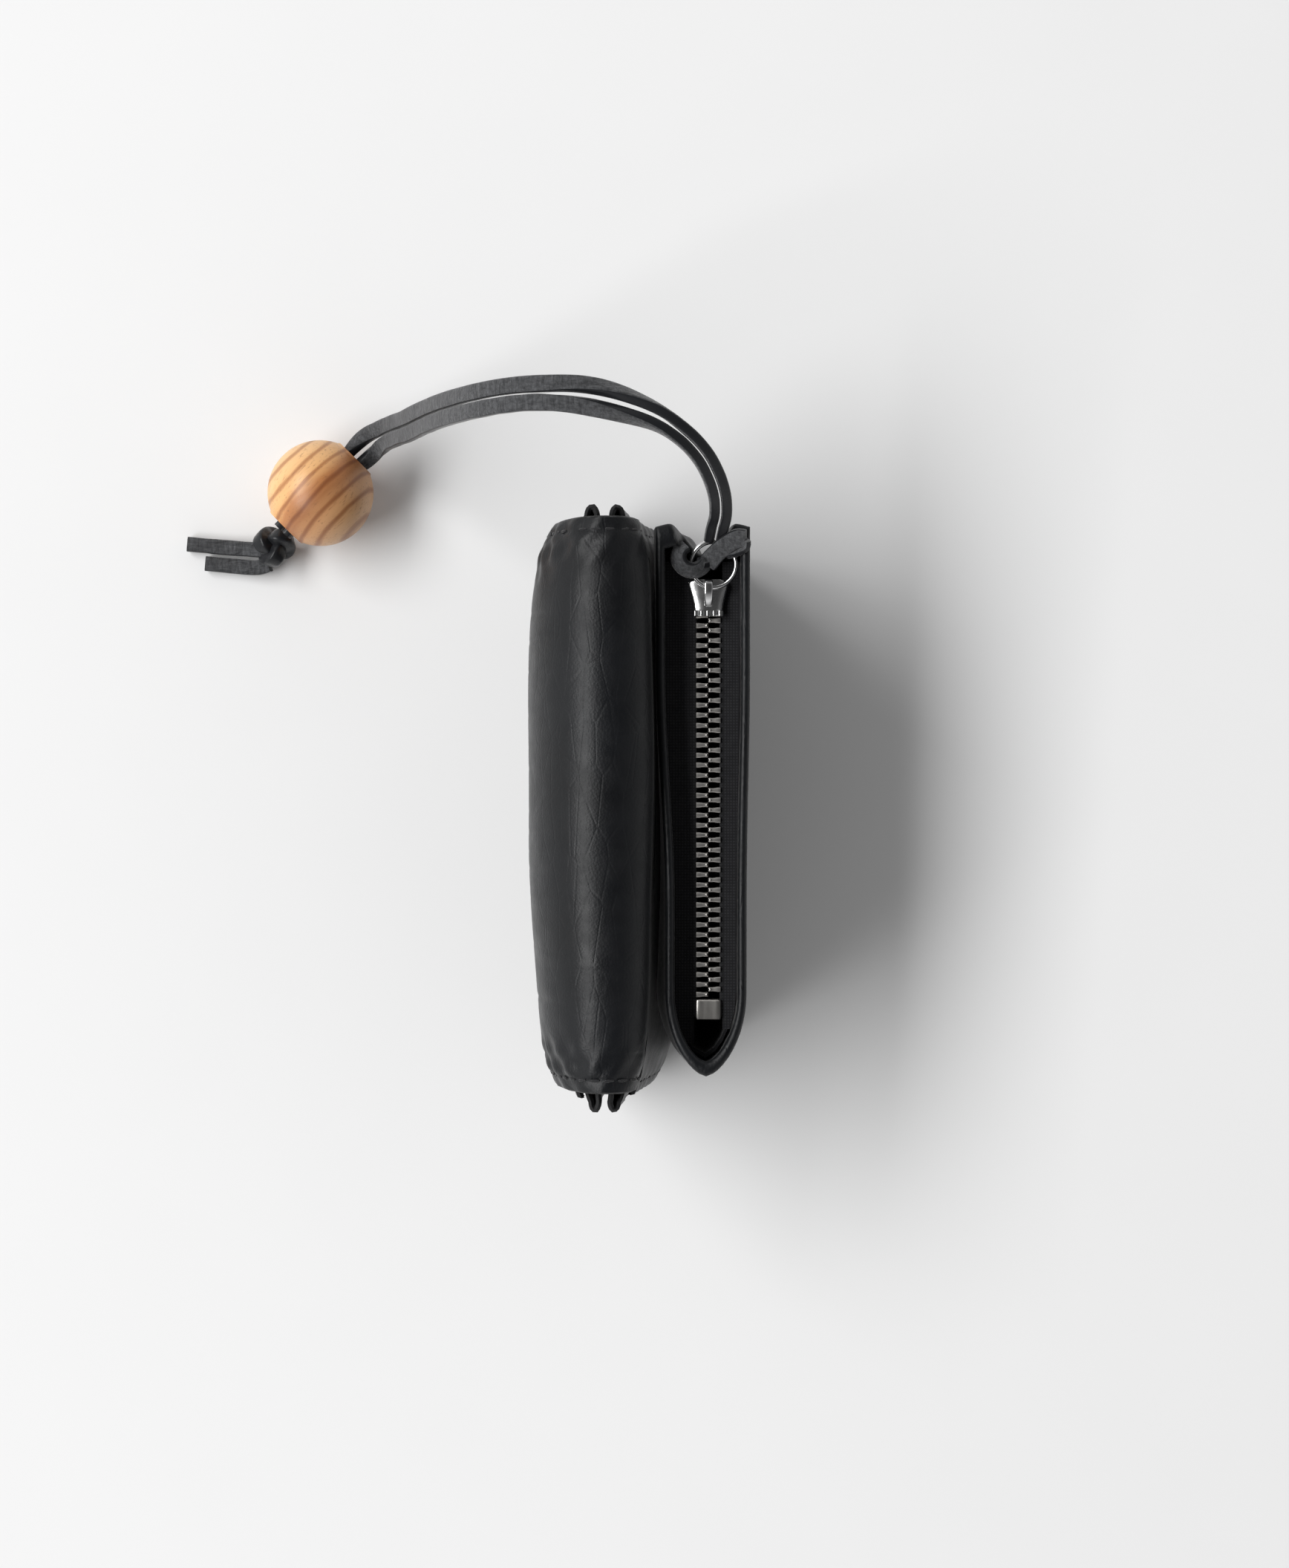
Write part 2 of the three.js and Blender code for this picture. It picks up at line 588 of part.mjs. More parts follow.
/** A rounded lump: a sphere of some size, turned in plan and moved to its place. */
function lump(size, place, turn = 0, detail = 1) {
  return toSolid(new THREE.IcosahedronGeometry(0.5, detail).scale(...size)
    .rotateZ(degrees(turn)).translate(...place));
}
const [ringX, ringY, ringZ] = ringCentre;
const farZ = ringZ + ringRadius * Math.sin(tilt);
const hitchParts = [
  lump([6.0, 5.0, 4.4], [ringX - 4.0, ringY + 1.8, farZ + 0.5], 45),
  lump([6.2, 3.8, 4.2], [ringX + 0.6, ringY + 3.2, farZ + 0.6], 6),
  lump([5.4, 5.2, 4.2], [ringX - 1.4, ringY + 4.2, farZ + 0.7]),
];
const hitch = hitchParts.reduce((a, b) => a.add(b))
  .subtract(toSolid(torus(wire / 2 + gap, 32, 8)));
add('lace_hitch', toGeometry(hitch), 'suede');

// Doubled lace: it leaves the ring on edge, turns flat, and enters the bead on edge
const laceTurn = (t) => (Math.PI / 2) * (1 - ease(flatFrom, flatBy, t) + ease(edgeFrom, edgeBy, t));
add('lace_leg_outer', strap(laceRoute, laceWidth, laceThick, 34, laceTurn, 1), 'suede');
add('lace_leg_inner', strap(laceRoute, laceWidth, laceThick, 34, laceTurn, -1), 'suede');
for (const [name, route] of Object.entries(tailRoutes)) {
  add(name, strap(route, laceWidth, laceThick, 3), 'suede');
}

// Bead, drilled along the lace, and the knot that stops it
const beadAim = Math.atan2(bead[1] - knot[1], bead[0] - knot[0]);
const holeAngle = Math.asin(beadHole / beadSize);
const profile = spread(holeAngle, Math.PI - holeAngle, 10)
  .map((a) => new THREE.Vector2((beadSize / 2) * Math.sin(a), (-beadSize / 2) * Math.cos(a)));
add('bead', new THREE.LatheGeometry([...profile, profile[0]], 22)
  .rotateZ(beadAim - Math.PI / 2).translate(...bead), 'wood');
add('lace_knot', toGeometry(lump(knotSize, knot, THREE.MathUtils.radToDeg(beadAim), 2)), 'leather');

// Press stud: stud and post on the front wall, socket under the flap
const hole = toSolid(pin(shank + gap, studX - 2 * studPlate, studX + 1, studY, studZ, 12));
const stud = toSolid(pin(studRadius, studX - gap - studPlate, studX - gap, studY, studZ))
  .add(toSolid(pin(studNub, studX - gap - 2 * studPlate, studX - gap, studY, studZ)))
  .subtract(hole);
add('snap_stud', toGeometry(stud), 'nickel');
const postX = studX + hide + gap + lining + gap;
const rivet = toSolid(pin(studRadius - 0.4, postX, postX + 0.8, studY, studZ))
  .add(toSolid(pin(shank, studX - gap - studPlate, postX + 0.4, studY, studZ, 12)));
add('snap_post', toGeometry(rivet), 'nickel');
const socketX = studX - 2 * gap - 2 * studPlate - 0.1;
const socket = toSolid(pin(studRadius, socketX, socketX + studPlate + 0.1, studY, studZ))
  .subtract(toSolid(pin(studNub + gap, socketX - 1, socketX + 2, studY, studZ)));
add('snap_socket', toGeometry(socket), 'nickel');

export default purse;
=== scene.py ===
"""Coin purse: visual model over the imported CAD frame. Lengths are in millimetres until a
mesh is made, and the frame is the CAD's: +Z up, +Y along the purse, -X its front."""
import math

import bmesh
import bpy
import numpy as np
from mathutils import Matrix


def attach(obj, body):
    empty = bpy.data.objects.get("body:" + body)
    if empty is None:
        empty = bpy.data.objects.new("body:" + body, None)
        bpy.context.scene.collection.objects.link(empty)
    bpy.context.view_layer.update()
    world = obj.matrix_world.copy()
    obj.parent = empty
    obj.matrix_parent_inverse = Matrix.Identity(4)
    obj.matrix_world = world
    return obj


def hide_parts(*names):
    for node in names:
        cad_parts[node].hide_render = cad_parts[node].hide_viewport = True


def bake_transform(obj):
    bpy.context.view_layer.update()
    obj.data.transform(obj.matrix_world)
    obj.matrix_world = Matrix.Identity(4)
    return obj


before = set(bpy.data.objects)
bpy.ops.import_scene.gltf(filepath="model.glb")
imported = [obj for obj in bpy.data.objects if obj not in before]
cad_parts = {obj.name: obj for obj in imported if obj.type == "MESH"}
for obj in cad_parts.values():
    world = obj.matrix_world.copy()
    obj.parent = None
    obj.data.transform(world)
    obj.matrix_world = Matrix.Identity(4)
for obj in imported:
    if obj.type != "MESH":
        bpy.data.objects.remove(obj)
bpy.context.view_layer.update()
MM = 0.001
rng = np.random.default_rng(7)

# ---- Camera, light and floor ---------------------------------------------------------

scene = bpy.context.scene
camera = bpy.data.objects.new("camera", bpy.data.cameras.new("camera"))
scene.collection.objects.link(camera)
camera.location = (0.0014, 0.0051, 0.695)
camera.data.sensor_fit = "VERTICAL"
camera.data.sensor_height = 36
camera.data.lens = 70.06
camera.data.clip_start = 0.01
scene.camera = camera
scene.view_settings.view_transform = "Standard"


def area_light(name, azimuth, elevation, distance, size, watts):
    """A soft box that faces the purse: azimuth from +X towards +Y, in degrees."""
    lamp = bpy.data.objects.new(name, bpy.data.lights.new(name, "AREA"))
    lamp.data.shape = "RECTANGLE"
    lamp.data.size, lamp.data.size_y = size
    lamp.data.energy = watts
    a, e = math.radians(azimuth), math.radians(elevation)
    lamp.location = (distance * math.cos(e) * math.cos(a),
                     distance * math.cos(e) * math.sin(a), distance * math.sin(e))
    lamp.rotation_euler = (math.pi / 2 - e, 0, a + math.pi / 2)
    scene.collection.objects.link(lamp)


area_light("key", 175, 50, 3.0, (3.6, 1.15), 112)
world = bpy.data.worlds.new("studio")
world.use_nodes = True
sky = world.node_tree
direction = sky.nodes.new("ShaderNodeTexCoord").outputs["Generated"]
parts_of = sky.nodes.new("ShaderNodeSeparateXYZ")
dome = sky.nodes.new("ShaderNodeValToRGB")
dome.color_ramp.elements.new(0.5)
for element, (at, level) in zip(dome.color_ramp.elements, ((0.0, 0.8), (0.5, 0.4), (0.9, 0.04))):
    element.position, element.color = at, (level, level, level, 1)
sky.links.new(direction, parts_of.inputs[0])
sky.links.new(parts_of.outputs["Z"], dome.inputs["Fac"])
sky.links.new(dome.outputs["Color"], sky.nodes["Background"].inputs["Color"])
sky.nodes["Background"].inputs["Strength"].default_value = 1.3
scene.world = world

# ---- Materials -----------------------------------------------------------------------


class Nodes:
    """A material's node tree, with short calls for the nodes that repeat."""

    def __init__(self, name, **values):
        self.material = bpy.data.materials.new(name)
        self.material.use_nodes = True
        self.tree = self.material.node_tree
        self.shader = self.tree.nodes["Principled BSDF"]
        self.place = self.tree.nodes.new("ShaderNodeTexCoord").outputs["Object"]
        for key, value in values.items():
            self.shader.inputs[key.replace("_", " ")].default_value = value

    def add(self, kind, link=None, **values):
        node = self.tree.nodes.new("ShaderNode" + kind)
        for key, value in values.items():
            if hasattr(node, key):
                setattr(node, key, value)
            else:
                node.inputs[key.replace("_", " ")].default_value = value
        for socket, source in (link or {}).items():
            self.tree.links.new(source, node.inputs[socket])
        return node

    def stretch(self, scale, turn=(0, 0, 0)):
        return self.add("Mapping", {"Vector": self.place}, Scale=scale,
                        Rotation=tuple(math.radians(t) for t in turn)).outputs[0]

    def noise(self, scale, detail=2.0, rough=0.5, where=None, distortion=0.0):
        return self.add("TexNoise", {"Vector": where or self.place}, Scale=scale,
                        Detail=detail, Roughness=rough, Distortion=distortion).outputs["Fac"]

    def cells(self, scale, where=None, feature="F1"):
        return self.add("TexVoronoi", {"Vector": where or self.place}, feature=feature,
                        Scale=scale).outputs["Distance"]

    def ramp(self, source, *stops):
        node = self.add("ValToRGB", {"Fac": source})
        while len(node.color_ramp.elements) < len(stops):
            node.color_ramp.elements.new(0.5)
        for element, (at, colour) in zip(node.color_ramp.elements, stops):
            element.position = at
            element.color = (*colour, 1) if isinstance(colour, tuple) else (colour,) * 3 + (1,)
        return node.outputs["Color"]

    def blend(self, factor, a, b, mode="MIX"):
        node = self.add("Mix", data_type="RGBA", blend_type=mode)
        for socket, value in ((0, factor), (6, a), (7, b)):
            if isinstance(value, (int, float)):
                node.inputs[socket].default_value = value
            elif isinstance(value, tuple):
                node.inputs[socket].default_value = (*value, 1)
            else:
                self.tree.links.new(value, node.inputs[socket])
        return node.outputs[2]

    def maths(self, kind, a, b=0.0):
        node = self.add("Math", operation=kind)
        for socket, value in enumerate((a, b)):
            if isinstance(value, (int, float)):
                node.inputs[socket].default_value = value
            else:
                self.tree.links.new(value, node.inputs[socket])
        return node.outputs[0]

    def bump(self, height, strength, distance, over=None):
        link = {"Height": height}
        if over:
            link["Normal"] = over
        return self.add("Bump", link, Strength=strength, Distance=distance).outputs[0]

    def done(self, colour=None, rough=None, normal=None):
        for socket, source in (("Base Color", colour), ("Roughness", rough),
                               ("Normal", normal)):
            if source is not None:
                self.tree.links.new(source, self.shader.inputs[socket])
        return self.material


def black_leather(name, base, rough, grain=1.0):
    n = Nodes(name, Specular_IOR_Level=0.26, Sheen_Weight=0.16, Sheen_Roughness=0.3)
    pebble = n.cells(1900)
    fine = n.noise(2600, 3, 0.6)
    pores = n.maths("ADD", n.maths("MULTIPLY", pebble, 0.7), n.maths("MULTIPLY", fine, 0.5))
    creases = n.cells(260, n.stretch((1, 0.35, 1)), "DISTANCE_TO_EDGE")
    lines = n.ramp(creases, (0.0, 0.0), (0.06, 1.0))
    cloud = n.noise(55, 3)
    colour = n.ramp(cloud, (0.3, tuple(0.8 * c for c in base)), (0.75, tuple(1.5 * c for c in base)))
    shine = n.ramp(n.noise(210, 4, 0.6), (0.25, rough - 0.07), (0.8, rough + 0.12))
    first = n.bump(lines, 0.22 * grain, 0.00012)
    return n.done(colour, shine, n.bump(pores, 0.4 * grain, 0.0001, first))


def suede(name, dark, light, rough):
    """The lace's cut faces: crossed short fibres with paler scuffs."""
    n = Nodes(name, Sheen_Weight=0.35, Sheen_Roughness=0.45, Specular_IOR_Level=0.35)
    one = n.noise(1500, 4, 0.7, n.stretch((1.0, 0.22, 1.0), (0, 0, 38)), 0.6)
    two = n.noise(1500, 4, 0.7, n.stretch((0.22, 1.0, 1.0), (0, 0, 30)), 0.6)
    weave = n.maths("MULTIPLY", one, two)
    colour = n.ramp(weave, (0.14, dark), (0.42, light))
    return n.done(colour, n.ramp(weave, (0.1, rough), (0.5, rough - 0.15)),
                  n.bump(weave, 0.9, 0.0004))


def woven(name, dark, light, pitch):
    """A plain weave whose threads are one pitch apart, in metres."""
    n = Nodes(name, Sheen_Weight=0.2, Specular_IOR_Level=0.25)
    waves = []
    for axis in "XYZ":
        waves.append(n.add("TexWave", {"Vector": n.place}, bands_direction=axis,
                           Scale=math.pi / (10 * pitch), Distortion=0.25).outputs["Fac"])
    mesh = n.maths("MULTIPLY", n.maths("MULTIPLY", waves[0], waves[1]),
                   n.maths("ADD", n.maths("MULTIPLY", waves[2], 0.5), 0.5))
    return n.done(n.ramp(mesh, (0.05, dark), (0.6, light)),
                  n.ramp(n.noise(900), (0.3, 0.75), (0.8, 0.95)), n.bump(mesh, 0.6, 0.00015))


def metal(name, colour, rough, brushed):
    n = Nodes(name, Metallic=1.0)
    streaks = n.noise(900, 4, 0.6, n.stretch((1.0, 0.06, 1.0)))
    stains = n.noise(420, 3, 0.6)
    shade = n.blend(n.ramp(stains, (0.35, 0.0), (0.75, 0.5)), colour,
                    tuple(0.6 * c for c in colour))
    shine = n.ramp(n.blend(0.5, streaks, stains), (0.3, rough), (0.7, rough + 0.14))
    return n.done(shade, shine, n.bump(streaks, brushed, 0.00003))


def bead_wood():
    """Two-tone wood: pale at one side of the bead, a dark heart band, its grain along the hole."""
    n = Nodes("bead_wood", Specular_IOR_Level=0.45, Coat_Weight=0.1, Coat_Roughness=0.35)

    def grain(scale):
        return n.add("Mapping", {"Vector": n.place}, vector_type="TEXTURE", Scale=scale,
                     Rotation=(0, 0, math.radians(45))).outputs[0]

    waver = n.noise(70, 4, 0.55, grain((3.0, 1.0, 1.0)), 0.3)
    fibres = n.noise(1500, 3, 0.65, grain((22.0, 1.0, 1.0)))
    pores = n.noise(2600, 2, 0.6, grain((14.0, 1.0, 1.0)))
    rings = n.add("TexWave", {"Vector": grain((3.5, 1.0, 2.4))}, bands_direction="Y", Scale=92.0,
                  Distortion=2.2, Detail=3.0, Detail_Scale=1.3, Detail_Roughness=0.6)
    across = n.add("SeparateXYZ", {"Vector": grain((1.0, 1.0, 1.0))}).outputs["Y"]
    share = n.maths("ADD", n.maths("MULTIPLY", across, -42.4), 4.58)
    share = n.maths("ADD", share, n.maths("MULTIPLY", waver, 0.3))
    body = n.ramp(share, (0.0, (0.80, 0.50, 0.24)), (0.36, (0.74, 0.41, 0.17)),
                  (0.46, (0.46, 0.19, 0.065)), (0.60, (0.36, 0.15, 0.055)),
                  (0.74, (0.55, 0.28, 0.12)), (1.0, (0.62, 0.37, 0.19)))
    lines = n.ramp(rings.outputs["Fac"], (0.0, (0.42, 0.24, 0.14)), (0.3, (0.95, 0.92, 0.9)),
                   (1.0, (1.0, 1.0, 1.0)))
    colour = n.blend(0.75, body, lines, "MULTIPLY")
    colour = n.blend(n.ramp(pores, (0.58, 0.0), (0.72, 0.6)), colour, (0.24, 0.10, 0.04))
    return n.done(colour, n.ramp(fibres, (0.3, 0.36), (0.8, 0.52)), n.bump(fibres, 0.25, 0.00008))


def floor_paper():
    n = Nodes("floor_paper", Specular_IOR_Level=0.1)
    return n.done(n.ramp(n.noise(30, 2), (0.0, 0.80), (1.0, 0.815)),
                  n.ramp(n.noise(40, 2), (0.0, 0.85), (1.0, 0.95)))


HIDE = black_leather("hide_black", (0.0035, 0.004, 0.005), 0.42)
HIDE_EDGE = black_leather("hide_cut_edge", (0.005, 0.005, 0.0055), 0.62, 1.6)
LACE_FIBRE = suede("lace_fibre", (0.014, 0.0145, 0.016), (0.085, 0.087, 0.092), 0.85)
LACE_SMOOTH = black_leather("lace_smooth", (0.010, 0.0105, 0.012), 0.30, 0.5)
TAPE = woven("tape_weave", (0.004, 0.004, 0.005), (0.020, 0.020, 0.023), 0.0006)
CLOTH = woven("lining_weave", (0.005, 0.005, 0.006), (0.022, 0.022, 0.024), 0.0004)
NICKEL = metal("dark_nickel", (0.62, 0.60, 0.57), 0.27, 0.3)
CHROME = metal("bright_nickel", (0.80, 0.80, 0.80), 0.13, 0.12)
WOOD = bead_wood()
THREAD = woven("thread_black", (0.006, 0.006, 0.007), (0.035, 0.035, 0.038), 0.0003)
PAPER = floor_paper()

# ---- Mesh helpers --------------------------------------------------------------------


def make(name, points, faces, materials, body, slot, replaces=(), shades=None, sharp=48):
    """A smooth-shaded piece from points in millimetres; shades picks a material per face."""
    mesh = bpy.data.meshes.new(name)
    mesh.from_pydata((np.asarray(points, float) * MM).tolist(), [], faces)
    for material in materials:
        mesh.materials.append(material)
    work = bmesh.new()
    work.from_mesh(mesh)
    for i, face in enumerate(work.faces):
        face.smooth = True
        if shades is not None:
            face.material_index = int(shades[i])
    bmesh.ops.recalc_face_normals(work, faces=work.faces)
    for edge in work.edges:
        edge.smooth = not (len(edge.link_faces) == 2
                           and edge.calc_face_angle(0) > math.radians(sharp))
    work.to_mesh(mesh)
    work.free()
    piece = bpy.data.objects.new(name, mesh)
    scene.collection.objects.link(piece)
    if body:
        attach(piece, body)
    if replaces:
        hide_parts(*replaces)
    return piece


def smoothstep(a, b, x):
    t = np.clip((np.asarray(x, float) - a) / (b - a), 0, 1)
    return t * t * (3 - 2 * t)


def mix(a, b, t):
    return a + (b - a) * t


def unit(v):
    v = np.asarray(v, float)
    return v / np.maximum(np.linalg.norm(v, axis=-1, keepdims=True), 1e-9)


def spline(points, count, closed=False):
    """Evenly spaced points on a smooth curve through the given ones."""
    p = np.asarray(points, float)
    ends = (p[-1:], p[:2]) if closed else (2 * p[:1] - p[1:2], 2 * p[-1:] - p[-2:-1])
    q = np.vstack([ends[0], p, ends[1]])
    fine = []
    for a, b, c, d in zip(q, q[1:], q[2:], q[3:]):
        knots = [0.0]
        for u, v in ((a, b), (b, c), (c, d)):
            knots.append(knots[-1] + max(np.linalg.norm(v - u) ** 0.5, 1e-6))
        t0, t1, t2, t3 = knots
        t = np.linspace(t1, t2, 16, endpoint=False)[:, None]
        ab = (t1 - t) / (t1 - t0) * a + (t - t0) / (t1 - t0) * b
        bc = (t2 - t) / (t2 - t1) * b + (t - t1) / (t2 - t1) * c
        cd = (t3 - t) / (t3 - t2) * c + (t - t2) / (t3 - t2) * d
        abc = (t2 - t) / (t2 - t0) * ab + (t - t0) / (t2 - t0) * bc
        bcd = (t3 - t) / (t3 - t1) * bc + (t - t1) / (t3 - t1) * cd
        fine.append((t2 - t) / (t2 - t1) * abc + (t - t1) / (t2 - t1) * bcd)
    fine.append(p[:1] if closed else p[-1:])
    fine = np.vstack(fine)
    run = np.concatenate([[0], np.cumsum(np.linalg.norm(np.diff(fine, axis=0), axis=1))])
    at = np.linspace(0, run[-1], count + 1 if closed else count)
    out = np.stack([np.interp(at, run, fine[:, k]) for k in range(p.shape[1])], axis=1)
    return out[:-1] if closed else out


def shell(outer, inner, round_edge=0.3):
    """Closed skin between two grids, with a rounded rim. Returns points, faces, is_edge."""
    outer, inner = np.asarray(outer, float), np.asarray(inner, float)
    m, n = outer.shape[:2]
    border = [(0, j) for j in range(n)] + [(i, n - 1) for i in range(1, m)]
    border += [(m - 1, j) for j in range(n - 2, -1, -1)] + [(i, 0) for i in range(m - 2, 0, -1)]
    inside = [(min(max(i, 1), m - 2), min(max(j, 1), n - 2)) for i, j in border]
    edge = np.array([(outer[i, j] + inner[i, j]) / 2 for i, j in border])
    back = np.array([(outer[i, j] + inner[i, j]) / 2 for i, j in inside])
    thick = np.linalg.norm(outer[0, 0] - inner[0, 0])
    rim = edge + unit(edge - back) * thick * round_edge
    points = np.vstack([outer.reshape(-1, 3), inner.reshape(-1, 3), rim])
    faces, kinds = [], []
    for i in range(m - 1):
        for j in range(n - 1):
            a = i * n + j
            faces.append((a, a + 1, a + n + 1, a + n))
            faces.append(tuple(m * n + k for k in (a, a + n, a + n + 1, a + 1)))
            kinds += [0, 0]
    index = [i * n + j for i, j in border]
    count = len(index)
    for k in range(count):
        k2 = (k + 1) % count
        r, r2 = 2 * m * n + k, 2 * m * n + k2
        faces += [(index[k], r, r2, index[k2]), (m * n + index[k], m * n + index[k2], r2, r)]
        kinds += [1, 1]
    return points, faces, kinds


def tube(path, profile, frames, caps=True):
    """Sweeps a closed profile (list of across, through) along a path of frames."""
    rings = np.array([p + a[None, :] * profile[i][:, :1] + t[None, :] * profile[i][:, 1:]
                      for i, (p, (a, t)) in enumerate(zip(path, frames))])
    m, n = rings.shape[:2]
    faces = [(i * n + j, i * n + (j + 1) % n, (i + 1) * n + (j + 1) % n, (i + 1) * n + j)
             for i in range(m - 1) for j in range(n)]
    kinds = [j for _ in range(m - 1) for j in range(n)]
    if caps:
        faces += [tuple(range(n))[::-1], tuple((m - 1) * n + j for j in range(n))]
        kinds += [-1, -1]
    return rings.reshape(-1, 3), faces, kinds


def join(parts):
    """Puts several (points, faces, kinds) together."""
    points, faces, kinds, base = [], [], [], 0
    for p, f, k in parts:
        points.append(np.asarray(p))
        faces += [tuple(i + base for i in face) for face in f]
        kinds += list(k)
        base += len(p)
    return np.vstack(points), faces, kinds

# ---- Shape of the leather, with the CAD's own dimensions -------------------------------

HIDE_THICK, LINING, GAP = 1.3, 0.6, 0.3
HEIGHT, HALF_LENGTH = 75.0, 60.0
CREST_X, BELLY_X, BELLY_Z = -6.5, -23.1, 50.0
HEM_Z, TUCK = 28.0, 1.9
HINGE_X, HINGE_Z, MOUTH_Z = 3.2, 67.0, 63.0
FRONT_Z, BACK_X, BACK_Z = 36.0, 10.8, 24.0
FRONT_X = BELLY_X + HIDE_THICK + LINING + 2 * GAP + 3.5
FLAP_ENDS = (-57.8, 59.5)
WALL_HUG = 0.07


def quarter(x0, z0, x1, z1, along_z, power, steps):
    t = np.linspace(0, np.pi / 2, steps + 1)
    s, c = np.abs(np.sin(t)) ** (2 / power), np.abs(np.cos(t)) ** (2 / power)
    if along_z:
        return np.stack([mix(x1, x0, c), mix(z0, z1, s)], 1)
    return np.stack([mix(x0, x1, s), mix(z1, z0, c)], 1)


def even(path, step):
    """Points at an even step along a path in a plane."""
    run = np.concatenate([[0], np.cumsum(np.linalg.norm(np.diff(path, axis=0), axis=1))])
    at = np.linspace(0, run[-1], max(int(run[-1] / step), 2))
    return np.stack([np.interp(at, run, path[:, k]) for k in (0, 1)], 1)


def back_rise(first, last, steps=40):
    t = np.linspace(first, last, steps)
    return np.stack([mix(BACK_X, HINGE_X, 0.5 - 0.5 * np.cos(t * np.pi)) - 0.9 * np.sin(t * np.pi),
                     mix(BACK_Z, HINGE_Z - GAP, t)], 1)


SPLIT = 0.76  # share of the back wall's rise where the hinged leather starts
t_front = np.linspace(0, 1, 20)
front_drop = np.stack([mix(FRONT_X + 1.2, FRONT_X, np.sin(t_front * np.pi / 2)),
                       mix(MOUTH_Z, FRONT_Z, t_front)], 1)
wall_front = np.vstack([front_drop, quarter(FRONT_X, FRONT_Z, -12, 0, True, 2.6, 24)[1:]])
wall_back = np.vstack([quarter(3, 0, BACK_X, BACK_Z, False, 2.6, 24), back_rise(0, 1)[1:]])
wall_path = np.vstack([wall_front, wall_back])
hem_t = np.linspace(0, 1, 20)[1:]
flap_path = np.vstack([
    quarter(HINGE_X, HINGE_Z + GAP, CREST_X, HEIGHT, True, 2.1, 24),
    quarter(CREST_X, HEIGHT, BELLY_X, BELLY_Z, False, 2.1, 40)[1:],
    np.stack([BELLY_X + TUCK * hem_t ** 2, mix(BELLY_Z, HEM_Z, hem_t)], 1)])


def width_at(y):
    end = np.minimum(np.abs(y) / HALF_LENGTH, 1)
    return mix(0.64, 1, (1 - end ** 6) ** 0.8) - 0.09 * smoothstep(0.08, 0.67, -y / HALF_LENGTH)


def place(path, y, hug=0.0):
    end = min(abs(y) / HALF_LENGTH, 1)
    x, z = path[:, 0], path[:, 1]
    out_x = CREST_X + (x - CREST_X) * (width_at(y) + np.where(x < CREST_X, hug * end ** 4, 0))
    return np.stack([out_x, z - 1.8 * end ** 6 * smoothstep(BACK_Z, HEIGHT, z)], 1)


def leftward(path):
    d = np.gradient(path, axis=0)
    return unit(np.stack([-d[:, 1], d[:, 0]], 1))


def skin(path, ys, depth, thick, hug=0.0, relief=None):
    """A leather or cloth skin that follows a section; relief lifts it, in millimetres."""
    share = np.linspace(0, 1, len(path))
    outer, inner = [], []
    for y in ys:
        face = place(path, y, hug)
        into = leftward(face)
        lift = (relief(y, share, face) if relief else np.zeros(len(path)))[:, None]
        for grid, d in ((outer, depth), (inner, depth + thick)):
            at = face + into * (d - lift)
            grid.append(np.stack([at[:, 0], np.full(len(at), y), at[:, 1]], 1))
    return shell(outer, inner)


def crease_set(count, low, high, deepest, seed):
    """Fine folds across a flexed face: where each lies, how it wanders and how deep it is."""
    r = np.random.default_rng(seed)
    return [(r.uniform(low, high), r.uniform(-1.6, 1.6), r.uniform(0, 6.3), r.uniform(0.1, 0.9),
             r.uniform(0.08, 0.3), r.uniform(0.3, 0.75), r.uniform(0.25, 1) * deepest)
            for _ in range(count)]


flap_creases = crease_set(52, -56, 58, 0.1, 11)


def flap_relief(y, share, face):
    lift = np.zeros(len(share))
    for at, wander, phase, centre, reach, wide, deep in flap_creases:
        off = y - at - wander * np.sin(5 * share + phase)
        lift -= deep * np.exp(-(off / wide) ** 2) * np.exp(-((share - centre) / reach) ** 2)
    for end, inward in ((FLAP_ENDS[1], -1), (FLAP_ENDS[0], 1)):
        lift -= 0.22 * math.exp(-((y - end - 2.4 * inward) / 0.75) ** 2)
        near = math.exp(-((y - end - 5.0 * inward) / 5.0) ** 2)
        # puckers where the corner of the flap turns down over the bellows
        lift += near * 0.34 * np.sin(face[:, 1] * 0.95 + y * 0.5) * smoothstep(-8, -14, face[:, 0])
        lift += near * 0.16 * np.sin(share * 70 + y * 0.8)
    lift += 0.22 * np.sin(y * 0.13 + 2.0 * share) * np.sin(4.2 * share + 0.6)
    return lift


def wall_relief(y, share, face):
    lift = 0.2 * np.sin(y * 0.11 + 1.3) * np.sin(9 * share)
    for side in (-1, 1):
        edge = side * HALF_LENGTH
        lift -= 0.2 * math.exp(-((y - edge + side * 2.4) / 0.75) ** 2)
        lift += 0.14 * math.exp(-((y - edge) / 5) ** 2) * np.sin(share * 160)
    return lift


def stations(low, high, step):
    body = np.linspace(low, high, int((high - low) / step) + 1)
    return np.unique(np.concatenate([body, low + np.array([0.12, 0.25]), high - np.array([0.12, 0.25])]))


body_path = even(np.vstack([wall_front, quarter(3, 0, BACK_X, BACK_Z, False, 2.6, 24),
                            back_rise(0, SPLIT)[1:]]), 1.0)
hinged_path = even(np.vstack([back_rise(SPLIT, 1), flap_path]), 0.7)

points, faces, kinds = skin(body_path, stations(-HALF_LENGTH, HALF_LENGTH, 0.7), 0, HIDE_THICK,
                            WALL_HUG, wall_relief)
body_leather = make("body_leather", points, faces, [HIDE, HIDE_EDGE], "purse_body", "hide",
                    ["body_panel"], kinds)

points, faces, kinds = skin(hinged_path, stations(*FLAP_ENDS, 0.4), 0, HIDE_THICK, 0, flap_relief)
flap_leather = make("flap_leather", points, faces, [HIDE, HIDE_EDGE], None, "hide",
                    ["flap"], kinds)
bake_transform(flap_leather)

